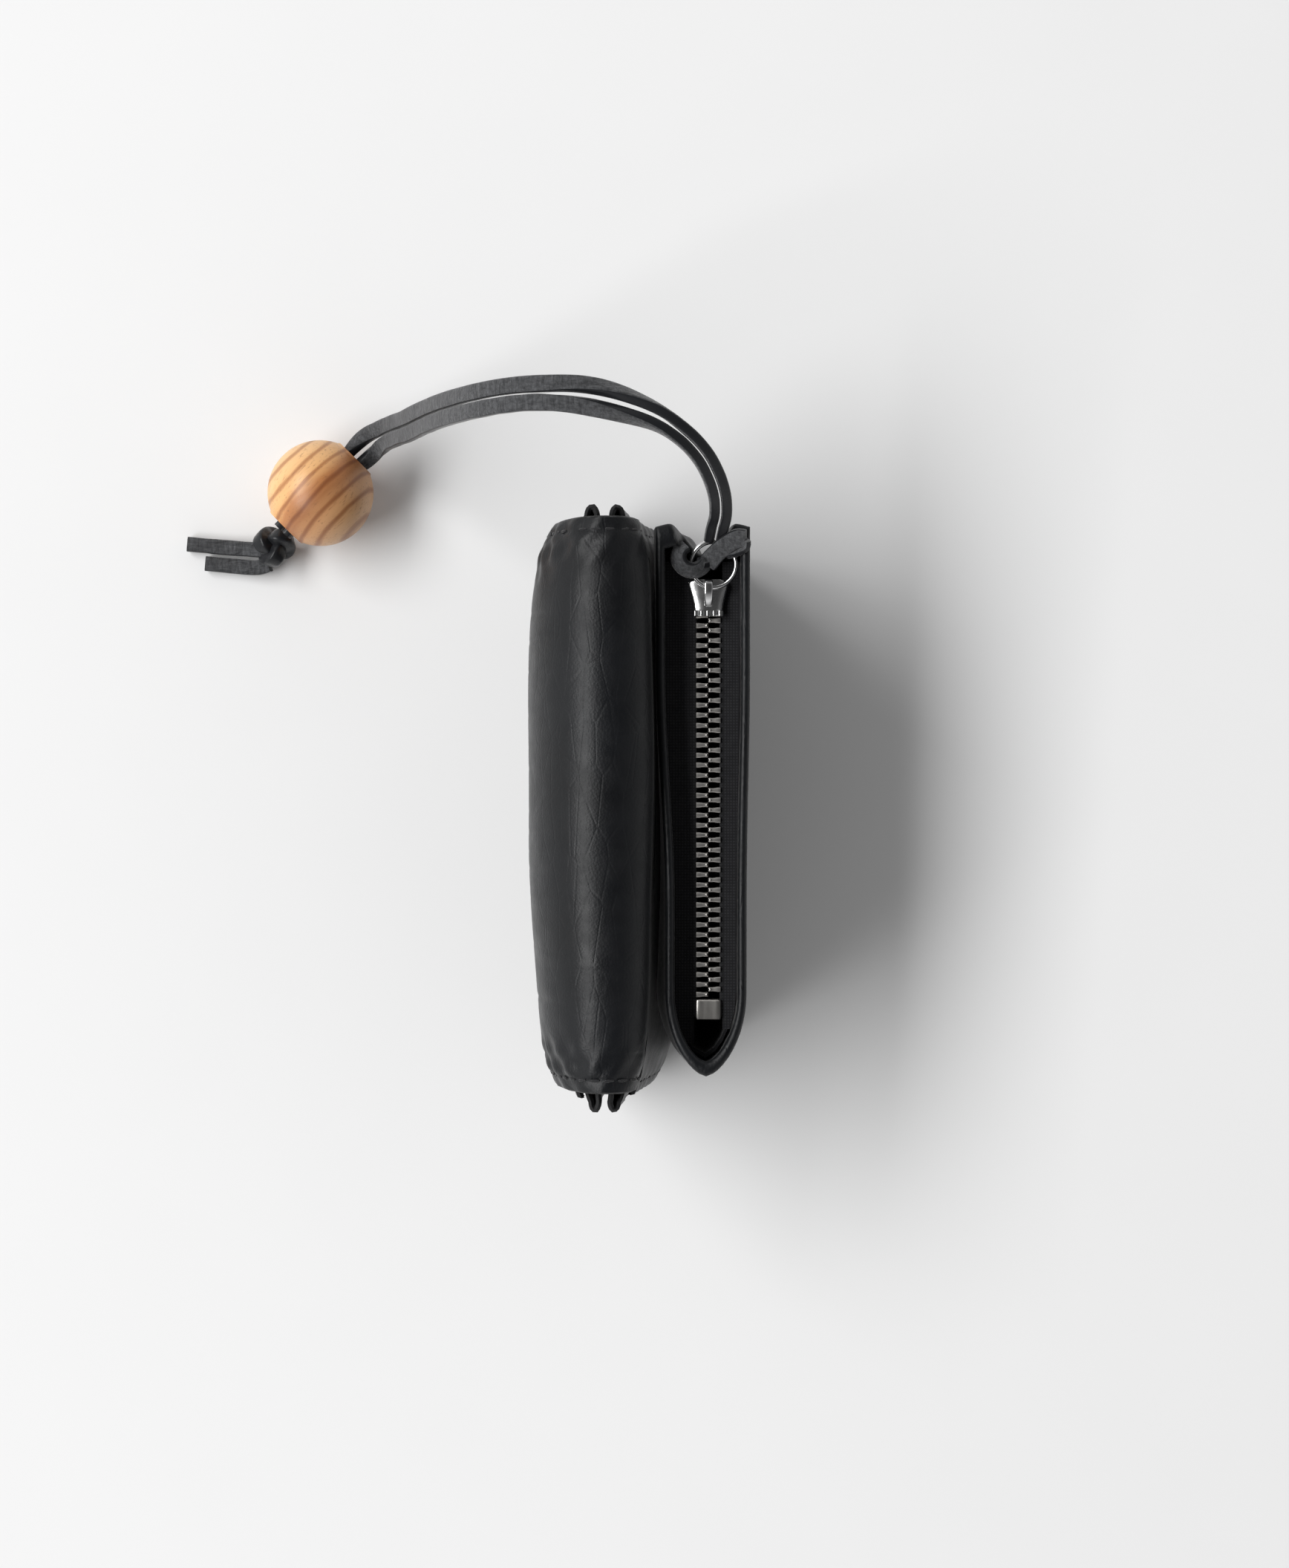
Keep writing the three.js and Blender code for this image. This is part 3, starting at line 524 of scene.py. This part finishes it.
points, faces, kinds = skin(even(wall_path, 1.5)[1:-1], stations(-50, 50, 1.5),
                            HIDE_THICK + GAP, LINING, WALL_HUG)
make("body_lining_cloth", points, faces, [CLOTH], "purse_body", "lining_fabric", ["body_lining"])
points, faces, kinds = skin(even(flap_path, 1.2)[2:-2],
                            stations(FLAP_ENDS[0] + 1.5, FLAP_ENDS[1] - 1.5, 1.2),
                            HIDE_THICK + GAP, LINING)
make("flap_lining_cloth", points, faces, [CLOTH], "flap_cover", "lining_fabric", ["flap_lining"])


def wall_x(y, z, back, depth):
    face = place(wall_back if back else wall_front[::-1], y, WALL_HUG)
    into = leftward(face) * (1 if back else -1)
    face = face + into * depth
    return np.interp(z, face[:, 1], face[:, 0])


# ---- Bellows gussets -------------------------------------------------------------------

roof_path = flap_path[:64]


def roof_z(x, y):
    roof = place(roof_path, y)
    roof = roof + leftward(roof) * (HIDE_THICK + LINING + 3 * GAP)
    order = np.argsort(roof[:, 0])
    return np.interp(x, roof[order, 0], roof[order, 1], left=BELLY_Z, right=BELLY_Z)


def gusset(sign, loop):
    edge, tuck, foot, thick = HALF_LENGTH, 12.0, 7.0, 1.2
    path = spline([
        (0, edge - 8), (0, edge - 3), (0, edge + 0.3), (0.07, edge + loop * 0.75),
        (0.17, edge + loop), (0.26, edge + loop * 0.6), (0.31, edge - 1.5), (0.36, edge - 5),
        (0.43, edge - tuck + 1.5), (0.5, edge - tuck), (0.57, edge - tuck + 1.5),
        (0.64, edge - 5), (0.69, edge - 1.5), (0.74, edge + loop * 0.6), (0.83, edge + loop),
        (0.93, edge + loop * 0.75), (1, edge + 0.3), (1, edge - 3), (1, edge - 8)], 130)
    u = np.clip(path[:, 0], 0, 1)
    outer, inner = [], []
    for share in np.linspace(0, 1, 34):
        z = mix(foot, MOUTH_Z, share)
        row = []
        for part, y in zip(u, path[:, 1]):
            held = min(y, edge) * sign
            depth = HIDE_THICK + GAP + thick
            row.append((mix(wall_x(held, z, False, depth), wall_x(held, z, True, depth), part),
                        y * sign))
        flat = np.array(row)
        free = np.sin(np.pi * u) ** 0.5
        flat[:, 1] += sign * 0.35 * free * np.sin(z * 0.33 + u * 11)
        top = np.array([max(float(roof_z(x, min(abs(y), edge - 2) * sign)), MOUTH_Z - 6)
                        for x, y in flat])
        lift = mix(foot, np.minimum(top, HEIGHT), share)
        for grid, d in ((outer, thick / 2), (inner, -thick / 2)):
            at = flat + leftward(flat) * d
            grid.append(np.stack([at[:, 0], at[:, 1], lift], 1))
    return shell(outer, inner, 0.45)


for name, sign, loop in (("gusset_rear", 1, 2.1), ("gusset_front", -1, 1.9)):
    points, faces, kinds = gusset(sign, loop)
    make(name + "_leather", points, faces, [HIDE, HIDE_EDGE], "purse_body", "hide", [name], kinds)

# ---- Zipped pocket ---------------------------------------------------------------------

LIP_Z, NOTCH_Z, POCKET_BASE = 66.0, 59.3, 1.0
POCKET_REAR, NOTCH_Y, TIP, TAPER = 58.8, 53.0, (14.1, -55.3), -38.0
side_shares = np.linspace(0, 1, 64)
tip_shares = np.array([0.12, 0.24, 0.36, 0.48, 0.59, 0.69, 0.78, 0.86, 0.92, 0.965])


def pocket_ring(share, depth, lift=0.0, wavy=0.0):
    tip_y = TIP[1] + 1.6 * depth
    ear_y = POCKET_REAR - 2.4 * depth
    fold_y = NOTCH_Y - 1.2 * depth
    ys = np.concatenate([mix(ear_y - 0.6, TAPER, side_shares), mix(TAPER, tip_y, tip_shares)])
    z = mix(POCKET_BASE, LIP_Z, share)
    low = 1 - float(smoothstep(0.72, 1, share))
    foot = 1 - float(smoothstep(0, 0.45, share))
    t = np.maximum(0, (TAPER - ys) / (TAPER - tip_y))
    closing = (1 - t * t) ** 0.65
    held = np.maximum(ys, TAPER)
    near = np.minimum(held, 50)
    wall = np.array([wall_x(y, max(z, BACK_Z), True, 0) for y in near]) + GAP + 0.25
    ripple = wavy * np.sin(ys * 2.1 + z * 0.3) * smoothstep(0.2, 0.8, t)
    lip = mix(5.7, 3.7, smoothstep(-20, 30, held))
    left = mix(TIP[0], mix(lip, wall, low) + depth + ripple, closing)
    lip = mix(22.5, 23.2, smoothstep(-20, 30, held))
    soft = 0.35 * (1 - abs(2 * share - 1)) * np.sin(ys * 0.16 + 1.0) * np.sin(z * 0.17)
    right = mix(TIP[0], mix(lip, mix(lip - 0.6, 17.5, foot), low) - depth + ripple + soft, closing)
    middle = (left[0] + right[0]) / 2
    fold = spline([
        (right[0], ear_y - 0.6, 0), (mix(right[0], middle, 0.33), ear_y, 0.05),
        (mix(right[0], middle, 0.5), mix(ear_y, fold_y, 0.2), 1), (middle, fold_y, 1),
        (mix(left[0], middle, 0.55), mix(ear_y, fold_y, 0.25), 1),
        (mix(left[0], middle, 0.33), ear_y, 0.05), (left[0], ear_y - 0.6, 0)], 48)[1:-1]
    x = np.concatenate([left, [TIP[0]], right[::-1], fold[:, 0]])
    y = np.concatenate([ys, [tip_y], ys[::-1], fold[:, 1]])
    dip = np.concatenate([np.zeros(2 * len(ys) + 1), np.clip(fold[:, 2], 0, 1)])
    return np.stack([x, y, mix(POCKET_BASE, mix(LIP_Z, NOTCH_Z, dip), share) + lift], 1)


ROLL = 0.95  # radius of the turned lip
rings = [pocket_ring(s, 0) for s in np.linspace(0, 1 - ROLL / 65, 34)]
rings += [pocket_ring(1, ROLL * (1 - math.cos(a)), ROLL * (math.sin(a) - 1))
          for a in np.linspace(0.3, math.pi, 9)]
rings += [pocket_ring(1 - d / 65, 2 * ROLL - 0.1, 0, 0.25) for d in (2.0, 3.5, 5.0)]
rings += [pocket_ring(1 - d / 65, HIDE_THICK, 0, 0.3) for d in (5.5, 7, 10, 15, 25, 40, 55, 63)]
count = len(rings[0])
points = np.vstack(rings)
faces = [(r * count + i, r * count + (i + 1) % count, (r + 1) * count + (i + 1) % count,
          (r + 1) * count + i) for r in range(len(rings) - 1) for i in range(count)]
faces += [tuple(range(count))[::-1], tuple((len(rings) - 1) * count + i for i in range(count))]
make("pocket_leather", points, faces, [HIDE], "purse_body", "hide", ["pocket_shell"])

# ---- Stitches --------------------------------------------------------------------------


def bead_shape(centre, along, up, size, turns=10, rows=5):
    """A small rounded grain: a stitch, a nib or a rivet."""
    along, up = unit(along), unit(up)
    side = np.cross(along, up)
    rings = []
    for a in np.linspace(0, np.pi, rows + 2)[1:-1]:
        ring = [along * math.cos(a) * size[0] / 2
                + (side * math.cos(b) * size[1] / 2 + up * math.sin(b) * size[2] / 2) * math.sin(a)
                for b in np.linspace(0, 2 * np.pi, turns, endpoint=False)]
        rings.append(np.array(ring) + centre)
    pts = np.vstack(rings)
    faces = [(r * turns + i, r * turns + (i + 1) % turns, (r + 1) * turns + (i + 1) % turns,
              (r + 1) * turns + i) for r in range(rows - 1) for i in range(turns)]
    faces += [tuple(range(turns))[::-1], tuple((rows - 1) * turns + i for i in range(turns))]
    return pts, faces, [0] * len(faces)


def stitch_row(path, y, hug, first, last, pitch=3.1):
    face = place(even(path, 0.25), y, hug)
    into = leftward(face)
    ahead = unit(np.gradient(face, axis=0))
    run = np.concatenate([[0], np.cumsum(np.linalg.norm(np.diff(face, axis=0), axis=1))])
    grains = []
    for at in np.arange(first, run[-1] - last, pitch):
        k = int(np.searchsorted(run, at))
        skew = 0.12 * rng.standard_normal()
        along = np.array([ahead[k, 0], skew, ahead[k, 1]])
        up = np.array([-into[k, 0], 0, -into[k, 1]])
        centre = np.array([face[k, 0], y, face[k, 1]]) - up * 0.12
        grains.append(bead_shape(centre, along, up, (2.35, 0.62, 0.5)))
    return grains


grains = []
for y in (FLAP_ENDS[0] + 2.4, FLAP_ENDS[1] - 2.4):
    grains += stitch_row(flap_path, y, 0, 1.5, 2.0)
make("flap_stitches", *join(grains)[:2], [THREAD], "flap_cover", "hide")
grains = []
for y in (-HALF_LENGTH + 2.4, HALF_LENGTH - 2.4):
    grains += stitch_row(wall_front, y, WALL_HUG, 2.0, 3.0)
    grains += stitch_row(wall_back, y, WALL_HUG, 12.0, 14.0)
make("wall_stitches", *join(grains)[:2], [THREAD], "purse_body", "hide")

# ---- Zip -------------------------------------------------------------------------------

ZIP_X, ZIP_Z, PITCH = 14.7, 58.0, 2.08
CHAIN = (-39.4, 44.6)


def tooth(side, y):
    """One clamped tooth: a flared root on the cord, a waist and a head with its nib."""
    rows = [(2.62, 0.50, 0.72), (2.5, 0.62, 0.95), (1.9, 0.60, 1.0), (1.25, 0.50, 0.97),
            (0.75, 0.47, 0.97), (0.15, 0.52, 0.98), (-0.02, 0.40, 0.8)]
    rings = []
    for x, half, tall in rows:
        a = np.linspace(0, 2 * np.pi, 16, endpoint=False) + np.pi / 16
        c, s = np.cos(a), np.sin(a)
        ring = np.stack([np.full(16, ZIP_X + side * x),
                         y + half * np.sign(c) * np.abs(c) ** 0.4,
                         ZIP_Z + tall * np.sign(s) * np.abs(s) ** 0.4], 1)
        rings.append(ring)
    pts = np.vstack(rings)
    faces = [(r * 16 + i, r * 16 + (i + 1) % 16, (r + 1) * 16 + (i + 1) % 16, (r + 1) * 16 + i)
             for r in range(len(rows) - 1) for i in range(16)]
    faces += [tuple(range(16))[::-1], tuple((len(rows) - 1) * 16 + i for i in range(16))]
    nib = bead_shape(np.array([ZIP_X + side * 0.38, y, ZIP_Z + 0.98]), (0, 1, 0), (0, 0, 1),
                     (0.72, 0.55, 0.5))
    return [(pts, faces, [0] * len(faces)), nib]


for side, shift, name in ((-1, 0.2, "left"), (1, 0.2 + PITCH / 2, "right")):
    teeth = []
    for y in np.arange(CHAIN[0] + shift + 0.4, CHAIN[1] - 0.4, PITCH):
        teeth += tooth(side, y + 0.03 * rng.standard_normal())
    make(f"zip_teeth_{name}_metal", *join(teeth)[:2], [NICKEL], "purse_body", "zip_metal",
         [f"zip_teeth_{name}"])


def square_ring(centre, half_a, half_b, axis_a, axis_b, power=0.35, count=20):
    a = np.linspace(0, 2 * np.pi, count, endpoint=False) + np.pi / count
    c, s = np.cos(a), np.sin(a)
    u = np.sign(c) * np.abs(c) ** power * half_a
    v = np.sign(s) * np.abs(s) ** power * half_b
    return np.asarray(centre) + u[:, None] * np.asarray(axis_a) + v[:, None] * np.asarray(axis_b)


def loft(rings):
    count, pts = len(rings[0]), np.vstack(rings)
    faces = [(r * count + i, r * count + (i + 1) % count, (r + 1) * count + (i + 1) % count,
              (r + 1) * count + i) for r in range(len(rings) - 1) for i in range(count)]
    faces += [tuple(range(count))[::-1], tuple((len(rings) - 1) * count + i for i in range(count))]
    return pts, faces, [0] * len(faces)


X, Y, Z = np.eye(3)
cords = []
for side in (-1, 1):
    path = np.stack([np.full(160, ZIP_X + side * 2.78), np.linspace(CHAIN[0] - 4, CHAIN[1] + 2, 160),
                     np.full(160, ZIP_Z)], 1)
    twist = 0.42 + 0.05 * np.sin(np.arange(160) * 2.4)
    cords.append(loft([square_ring(p, r, r, X, Z, 1.0, 10) for p, r in zip(path, twist)]))
make("zip_cords", *join(cords)[:2], [TAPE], "purse_body", "tape_fabric")

stop = []
for y, half, tall in ((-44.05, 2.35, 0.9), (-43.9, 2.6, 1.15), (-43.4, 2.7, 1.2), (-40.4, 2.7, 1.2),
                      (-39.95, 2.62, 1.15), (-39.8, 2.4, 0.95)):
    ring = square_ring((ZIP_X, y, ZIP_Z), half, tall, X, Z, 0.3, 40)
    notch = smoothstep(-42.6, -40.2, y) * np.maximum(0, 1 - np.abs(ring[:, 0] - ZIP_X) / 1.3)
    ring[:, 2] -= np.where(ring[:, 2] > ZIP_Z, 0.9 * notch, 0)
    stop.append(ring)
make("zip_stop_metal", *loft(stop)[:2], [NICKEL], "purse_body", "zip_metal", ["zip_bottom_stop"])


def slider_half(y):
    """Half the width of the slider's crown, which flares like a bell towards its nose."""
    return mix(3.0, 4.38, smoothstep(40.6, 48.6, y) ** 1.15)


def crown(z, thick, dome):
    rings = []
    for y in (39.98, 40.05, 40.3, 41.1, 41.3, 41.5, 42.3, 43.1, 43.9, 44.7, 45.5, 46.2, 46.8,
              47.2, 47.5, 47.66):
        half = slider_half(y)
        band = 0.16 if 40.05 < y < 41.3 else 0.0
        ends = 0.25 if y in (39.98,) else 0.0
        round_nose = 1.5 * max(0.0, (y - 46.6) / 1.06) ** 2.4
        ring = square_ring((ZIP_X, y, z), half + band - ends - round_nose,
                           thick / 2 + band - ends * 0.6, X, Z, 0.45, 36)
        across = (ring[:, 0] - ZIP_X) / half
        ring[:, 2] += dome * (0.5 - across ** 2) * (1 if band == 0 else 0.2)
        rings.append(ring)
    return loft(rings)


metal_parts = [crown(59.72, 0.9, 0.5), crown(56.28, 0.9, -0.2)]
for side in (-1, 1):
    for z in (58.98, 57.02):
        metal_parts.append(loft([
            square_ring((ZIP_X + side * (slider_half(y) - 0.3), y, z), 0.26, 0.38, X, Z, 0.5, 12)
            for y in np.linspace(40.2, 47.0, 12)]))
metal_parts.append(loft([square_ring((ZIP_X, 46.4, z), 0.7, 0.8, X, Y, 0.6, 16)
                         for z in (56.3, 58.0, 59.7)]))
for x in (-2.55, -1.3, 0.0, 1.3, 2.55):
    metal_parts.append(loft([square_ring((ZIP_X + x, y, 60.2), 0.42, 0.2, X, Z, 0.5, 12)
                             for y in (40.12, 40.25, 40.95, 41.12)]))
arch = spline([(42.0, 60.0), (42.7, 60.75), (43.6, 61.55), (44.8, 62.15), (46.1, 62.35),
               (47.0, 62.1), (47.35, 61.3), (47.3, 60.1)], 40)
arch_up = leftward(arch)
metal_parts.append(loft([
    square_ring((ZIP_X, y, z), 0.85 - 0.25 * smoothstep(42.0, 42.0 - 1, y), 0.26, X,
                np.array([0, u, v]), 0.5, 16)
    for (y, z), (u, v) in zip(arch, arch_up)]))
make("slider_metal", *join(metal_parts)[:2], [CHROME], "zip_slider", "bright_metal",
     ["slider_body"])

# ---- Pull ring -------------------------------------------------------------------------

WIRE, RING_R, SKEW, TILT = 1.0, 4.7, math.radians(12), math.radians(6)
EYE = np.array([14.7, 46.1, 61.0])
ring_centre = EYE + RING_R * np.array([math.sin(SKEW), math.cos(SKEW) * math.cos(TILT),
                                       math.cos(SKEW) * math.sin(TILT)])
ring_v, ring_n = np.array([0, math.cos(TILT), math.sin(TILT)]), np.array([0, -math.sin(TILT), math.cos(TILT)])
points, faces = [], []
for i, a in enumerate(np.linspace(0, 2 * np.pi, 96, endpoint=False)):
    out = X * math.cos(a) + ring_v * math.sin(a)
    for j, b in enumerate(np.linspace(0, 2 * np.pi, 20, endpoint=False)):
        points.append(ring_centre + out * (RING_R + WIRE / 2 * math.cos(b))
                      + ring_n * WIRE / 2 * math.sin(b))
        faces.append((i * 20 + j, i * 20 + (j + 1) % 20, (i + 1) % 96 * 20 + (j + 1) % 20,
                      (i + 1) % 96 * 20 + j))
make("pull_ring_metal", points, faces, [CHROME], "ring", "bright_metal", ["pull_ring"])

# ---- Lace ------------------------------------------------------------------------------

LACE_W, LACE_T = 3.4, 2.2
LACE_ROUTE = [
    (16.4, 57.7, 64.5), (17.0, 60.3, 67.3), (16.9, 63.2, 70.4), (16.2, 65.9, 73.0),
    (15.0, 68.6, 75.2), (13.4, 71.2, 77.2), (11.2, 73.7, 78.8), (8.6, 75.9, 80.2),
    (5.3, 78.1, 81.3), (1.6, 79.8, 82.1), (-5.8, 82.1, 82.8), (-12.0, 83.3, 82.4),
    (-18.6, 83.8, 80.8), (-23.5, 83.9, 78.6), (-28.3, 83.8, 75.0), (-33.2, 83.6, 69.4),
    (-37.9, 83.5, 61.5), (-42.4, 83.4, 52.0), (-46.6, 83.2, 41.5), (-50.6, 82.8, 31.5),
    (-54.0, 82.8, 22.6), (-57.0, 82.4, 16.2), (-59.8, 81.1, 12.8), (-62.6, 78.7, 11.9),
    (-66.0, 75.3, 11.9), (-71.1, 70.2, 11.9), (-76.2, 65.1, 11.9), (-79.6, 61.7, 11.5)]
TAILS = {"lace_tail_long": [(-84.6, 58.0, 3.4), (-87.6, 58.3, 2.6), (-93.5, 58.8, 1.5), (-102.4, 59.6, 1.4)],
         "lace_tail_short": [(-83.6, 54.9, 3.2), (-86.2, 54.2, 2.4), (-92.0, 54.6, 1.5), (-98.3, 55.2, 1.4)]}
BEAD, BEAD_R, HOLE_R = np.array([-71.1, 70.2, 11.9]), 11.8, 4.2
KNOT = np.array([-82.4, 58.9, 4.8])


def strap_profile(width, thick, count=24, power=0.42):
    a = np.linspace(0, 2 * np.pi, count, endpoint=False) + np.pi / count
    c, s = np.cos(a), np.sin(a)
    return np.stack([np.sign(c) * np.abs(c) ** power * width / 2,
                     np.sign(s) * np.abs(s) ** power * thick / 2], 1)


def strap_shades(kinds, count=24):
    """Fibrous on the two wide faces, smooth round the narrow sides."""
    wide = [abs(math.sin(2 * np.pi * (j + 1) / count)) > 0.5 if j >= 0 else True for j in kinds]
    return [0 if w else 1 for w in wide]


def strap(path, across, width=LACE_W, thick=LACE_T, seed=1, wobble=0.05):
    """A strip of lace along a path, its wide side along the given directions."""
    r = np.random.default_rng(seed)
    n = len(path)
    ahead = unit(np.gradient(path, axis=0))
    across = unit(across - ahead * np.sum(across * ahead, axis=1, keepdims=True))
    through = np.cross(ahead, across)
    t = np.arange(n)
    wave = sum(r.uniform(0.3, 1) * np.sin(t * r.uniform(0.05, 0.6) + r.uniform(0, 6)) for _ in range(6))
    profiles = [strap_profile(width * (1 + wobble * 0.5 * w), thick * (1 - wobble * 0.4 * w))
                for w in wave / 3]
    points, faces, kinds = tube(path, profiles, list(zip(across, through)))
    return points, faces, strap_shades(kinds)


def lace_leg(side, count=300):
    curve = spline(LACE_ROUTE, count)
    ahead = unit(np.gradient(curve, axis=0))
    level = unit(np.cross(ahead, Z))
    normal = np.cross(level, ahead)
    t = np.linspace(0, 1, count)
    turn = np.pi / 2 * (1 - smoothstep(0.15, 0.36, t) + smoothstep(0.8, 0.9, t))
    reach = np.abs(np.cos(turn)) * LACE_W + np.abs(np.sin(turn)) * LACE_T + 0.3
    path = curve + level * (side * reach / 2)[:, None]
    angle = side * turn
    across = level * np.cos(angle)[:, None] + np.cross(ahead, level) * np.sin(angle)[:, None]
    # the first few millimetres come from under the ring
    lead = np.linspace(0, 1, 8)[:-1, None]
    start = path[0] + np.array([-0.3, -1.7, -2.0])
    path = np.vstack([start + (path[0] - start) * lead, path])
    across = np.vstack([np.repeat(across[:1], 7, axis=0), across])
    return path, across


# Overhand knot: one thick trefoil turn of both strands
t = np.linspace(0, 2 * np.pi, 160)
trefoil = np.stack([np.sin(t) + 2 * np.sin(2 * t), np.cos(t) - 2 * np.cos(2 * t),
                    -np.sin(3 * t)], 1) * (1.08, 1.06, 2.2)
turn = math.radians(225)
spin = np.array([[math.cos(turn), -math.sin(turn), 0], [math.sin(turn), math.cos(turn), 0], [0, 0, 1]])
trefoil = trefoil @ spin.T + KNOT
knot_across = np.cross(unit(np.gradient(trefoil, axis=0)), unit(trefoil - KNOT))
parts = strap(trefoil, knot_across, 3.6, 3.0, seed=4, wobble=0.12)
make("lace_knot_strands", parts[0], parts[1], [LACE_SMOOTH], "zip_slider", "lace_leather", ["lace_knot"])

# Hitch: two curls of lace over the ring and the turn between them
hitch = []
angles = np.radians(np.linspace(120, 345, 30))
curl = np.stack([11.3 + 2.9 * np.cos(angles), 52.1 + 2.7 * np.sin(angles),
                 62.6 - 0.9 * np.cos(angles)], 1)
out = np.stack([np.cos(angles), np.sin(angles), np.full(30, -0.9)], 1)
hitch.append(strap(curl, out, 3.6, 1.5, seed=21))
over = spline([(14.6, 51.0, 61.2), (15.8, 52.4, 62.9), (17.2, 53.7, 64.0), (19.0, 54.9, 65.6),
               (20.9, 55.7, 67.0), (22.2, 55.5, 67.5)], 30)
hitch.append(strap(over, np.tile([-0.62, 0.78, 0.15], (30, 1)), 4.0, 1.4, seed=22))
down = spline([(22.3, 55.4, 67.4), (22.2, 54.2, 66.6), (20.6, 53.2, 65.0), (19.0, 52.8, 63.4)], 16)
hitch.append(strap(down, np.tile([0.4, -0.2, 0.8], (16, 1)), 2.6, 1.2, seed=23))
inside = spline([(13.0, 50.9, 61.9), (14.6, 51.3, 61.0), (16.4, 51.9, 61.4), (17.4, 53.4, 62.2)], 16)
hitch.append(strap(inside, np.tile([0.1, -0.5, 0.85], (16, 1)), 2.8, 1.6, seed=24))
parts = join(hitch)
make("lace_hitch_turns", parts[0], parts[1], [LACE_FIBRE, LACE_SMOOTH], "ring", "lace_leather",
     ["lace_hitch"], parts[2])

# ---- Bead ------------------------------------------------------------------------------

hole = math.asin(HOLE_R / BEAD_R)
outline = [(BEAD_R * math.sin(a), -BEAD_R * math.cos(a)) for a in np.linspace(hole + 0.09, np.pi - hole - 0.09, 60)]
lip_y = BEAD_R * math.cos(hole)
rounding = [(HOLE_R + 0.62, lip_y - 0.02), (HOLE_R + 0.3, lip_y - 0.1), (HOLE_R + 0.08, lip_y - 0.32),
            (HOLE_R, lip_y - 0.7)]
outline += rounding + [(HOLE_R, 0.0)] + [(r, -y) for r, y in rounding[::-1]]
axis_b = unit(unit(BEAD - KNOT) * (1, 1, 0))
side_b = np.cross(axis_b, Z)
rings = [BEAD + axis_b * y + r * (side_b * math.cos(a) + Z * math.sin(a))
         for r, y in outline for a in np.linspace(0, 2 * np.pi, 72, endpoint=False)]
count = len(outline)
faces = [(i * 72 + j, i * 72 + (j + 1) % 72, (i + 1) % count * 72 + (j + 1) % 72, (i + 1) % count * 72 + j)
         for i in range(count) for j in range(72)]
make("bead_turned", rings, faces, [WOOD], "lace_bead", "bead_wood", ["bead"])

# ---- Legs and tails ----------------------------------------------------------------------

for name, route in TAILS.items():
    path = spline(route, 40)
    across = np.cross(unit(np.gradient(path, axis=0)), Z)
    parts = strap(path, across, seed=9)
    tail = make(name + "_strip", parts[0], parts[1], [LACE_FIBRE, LACE_SMOOTH], "zip_slider",
                "lace_leather", [name], parts[2])
for name, side, seed in (("outer", 1, 3), ("inner", -1, 5)):
    path, across = lace_leg(side)
    parts = strap(path, across, seed=seed)
    leg = make(f"lace_{name}", parts[0], parts[1], [LACE_FIBRE, LACE_SMOOTH], None,
               "lace_leather", [f"lace_leg_{name}"], parts[2])
    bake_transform(leg)

# ---- Floor -----------------------------------------------------------------------------

bpy.ops.mesh.primitive_plane_add(size=6, location=(0, 0, -0.0002))
floor = bpy.context.object
floor.name = "floor"
floor.data.materials.append(PAPER)

CAD_FINISH = {
    "zip_tape_left": TAPE, "zip_tape_right": TAPE, "pocket_lining": CLOTH,
    "zip_top_stop_left": NICKEL, "zip_top_stop_right": NICKEL, "snap_stud": NICKEL, "snap_post": NICKEL,
    "snap_socket": NICKEL,
}
for node, material in CAD_FINISH.items():
    mesh = bpy.data.objects[node].data
    mesh.materials.clear()
    mesh.materials.append(material)
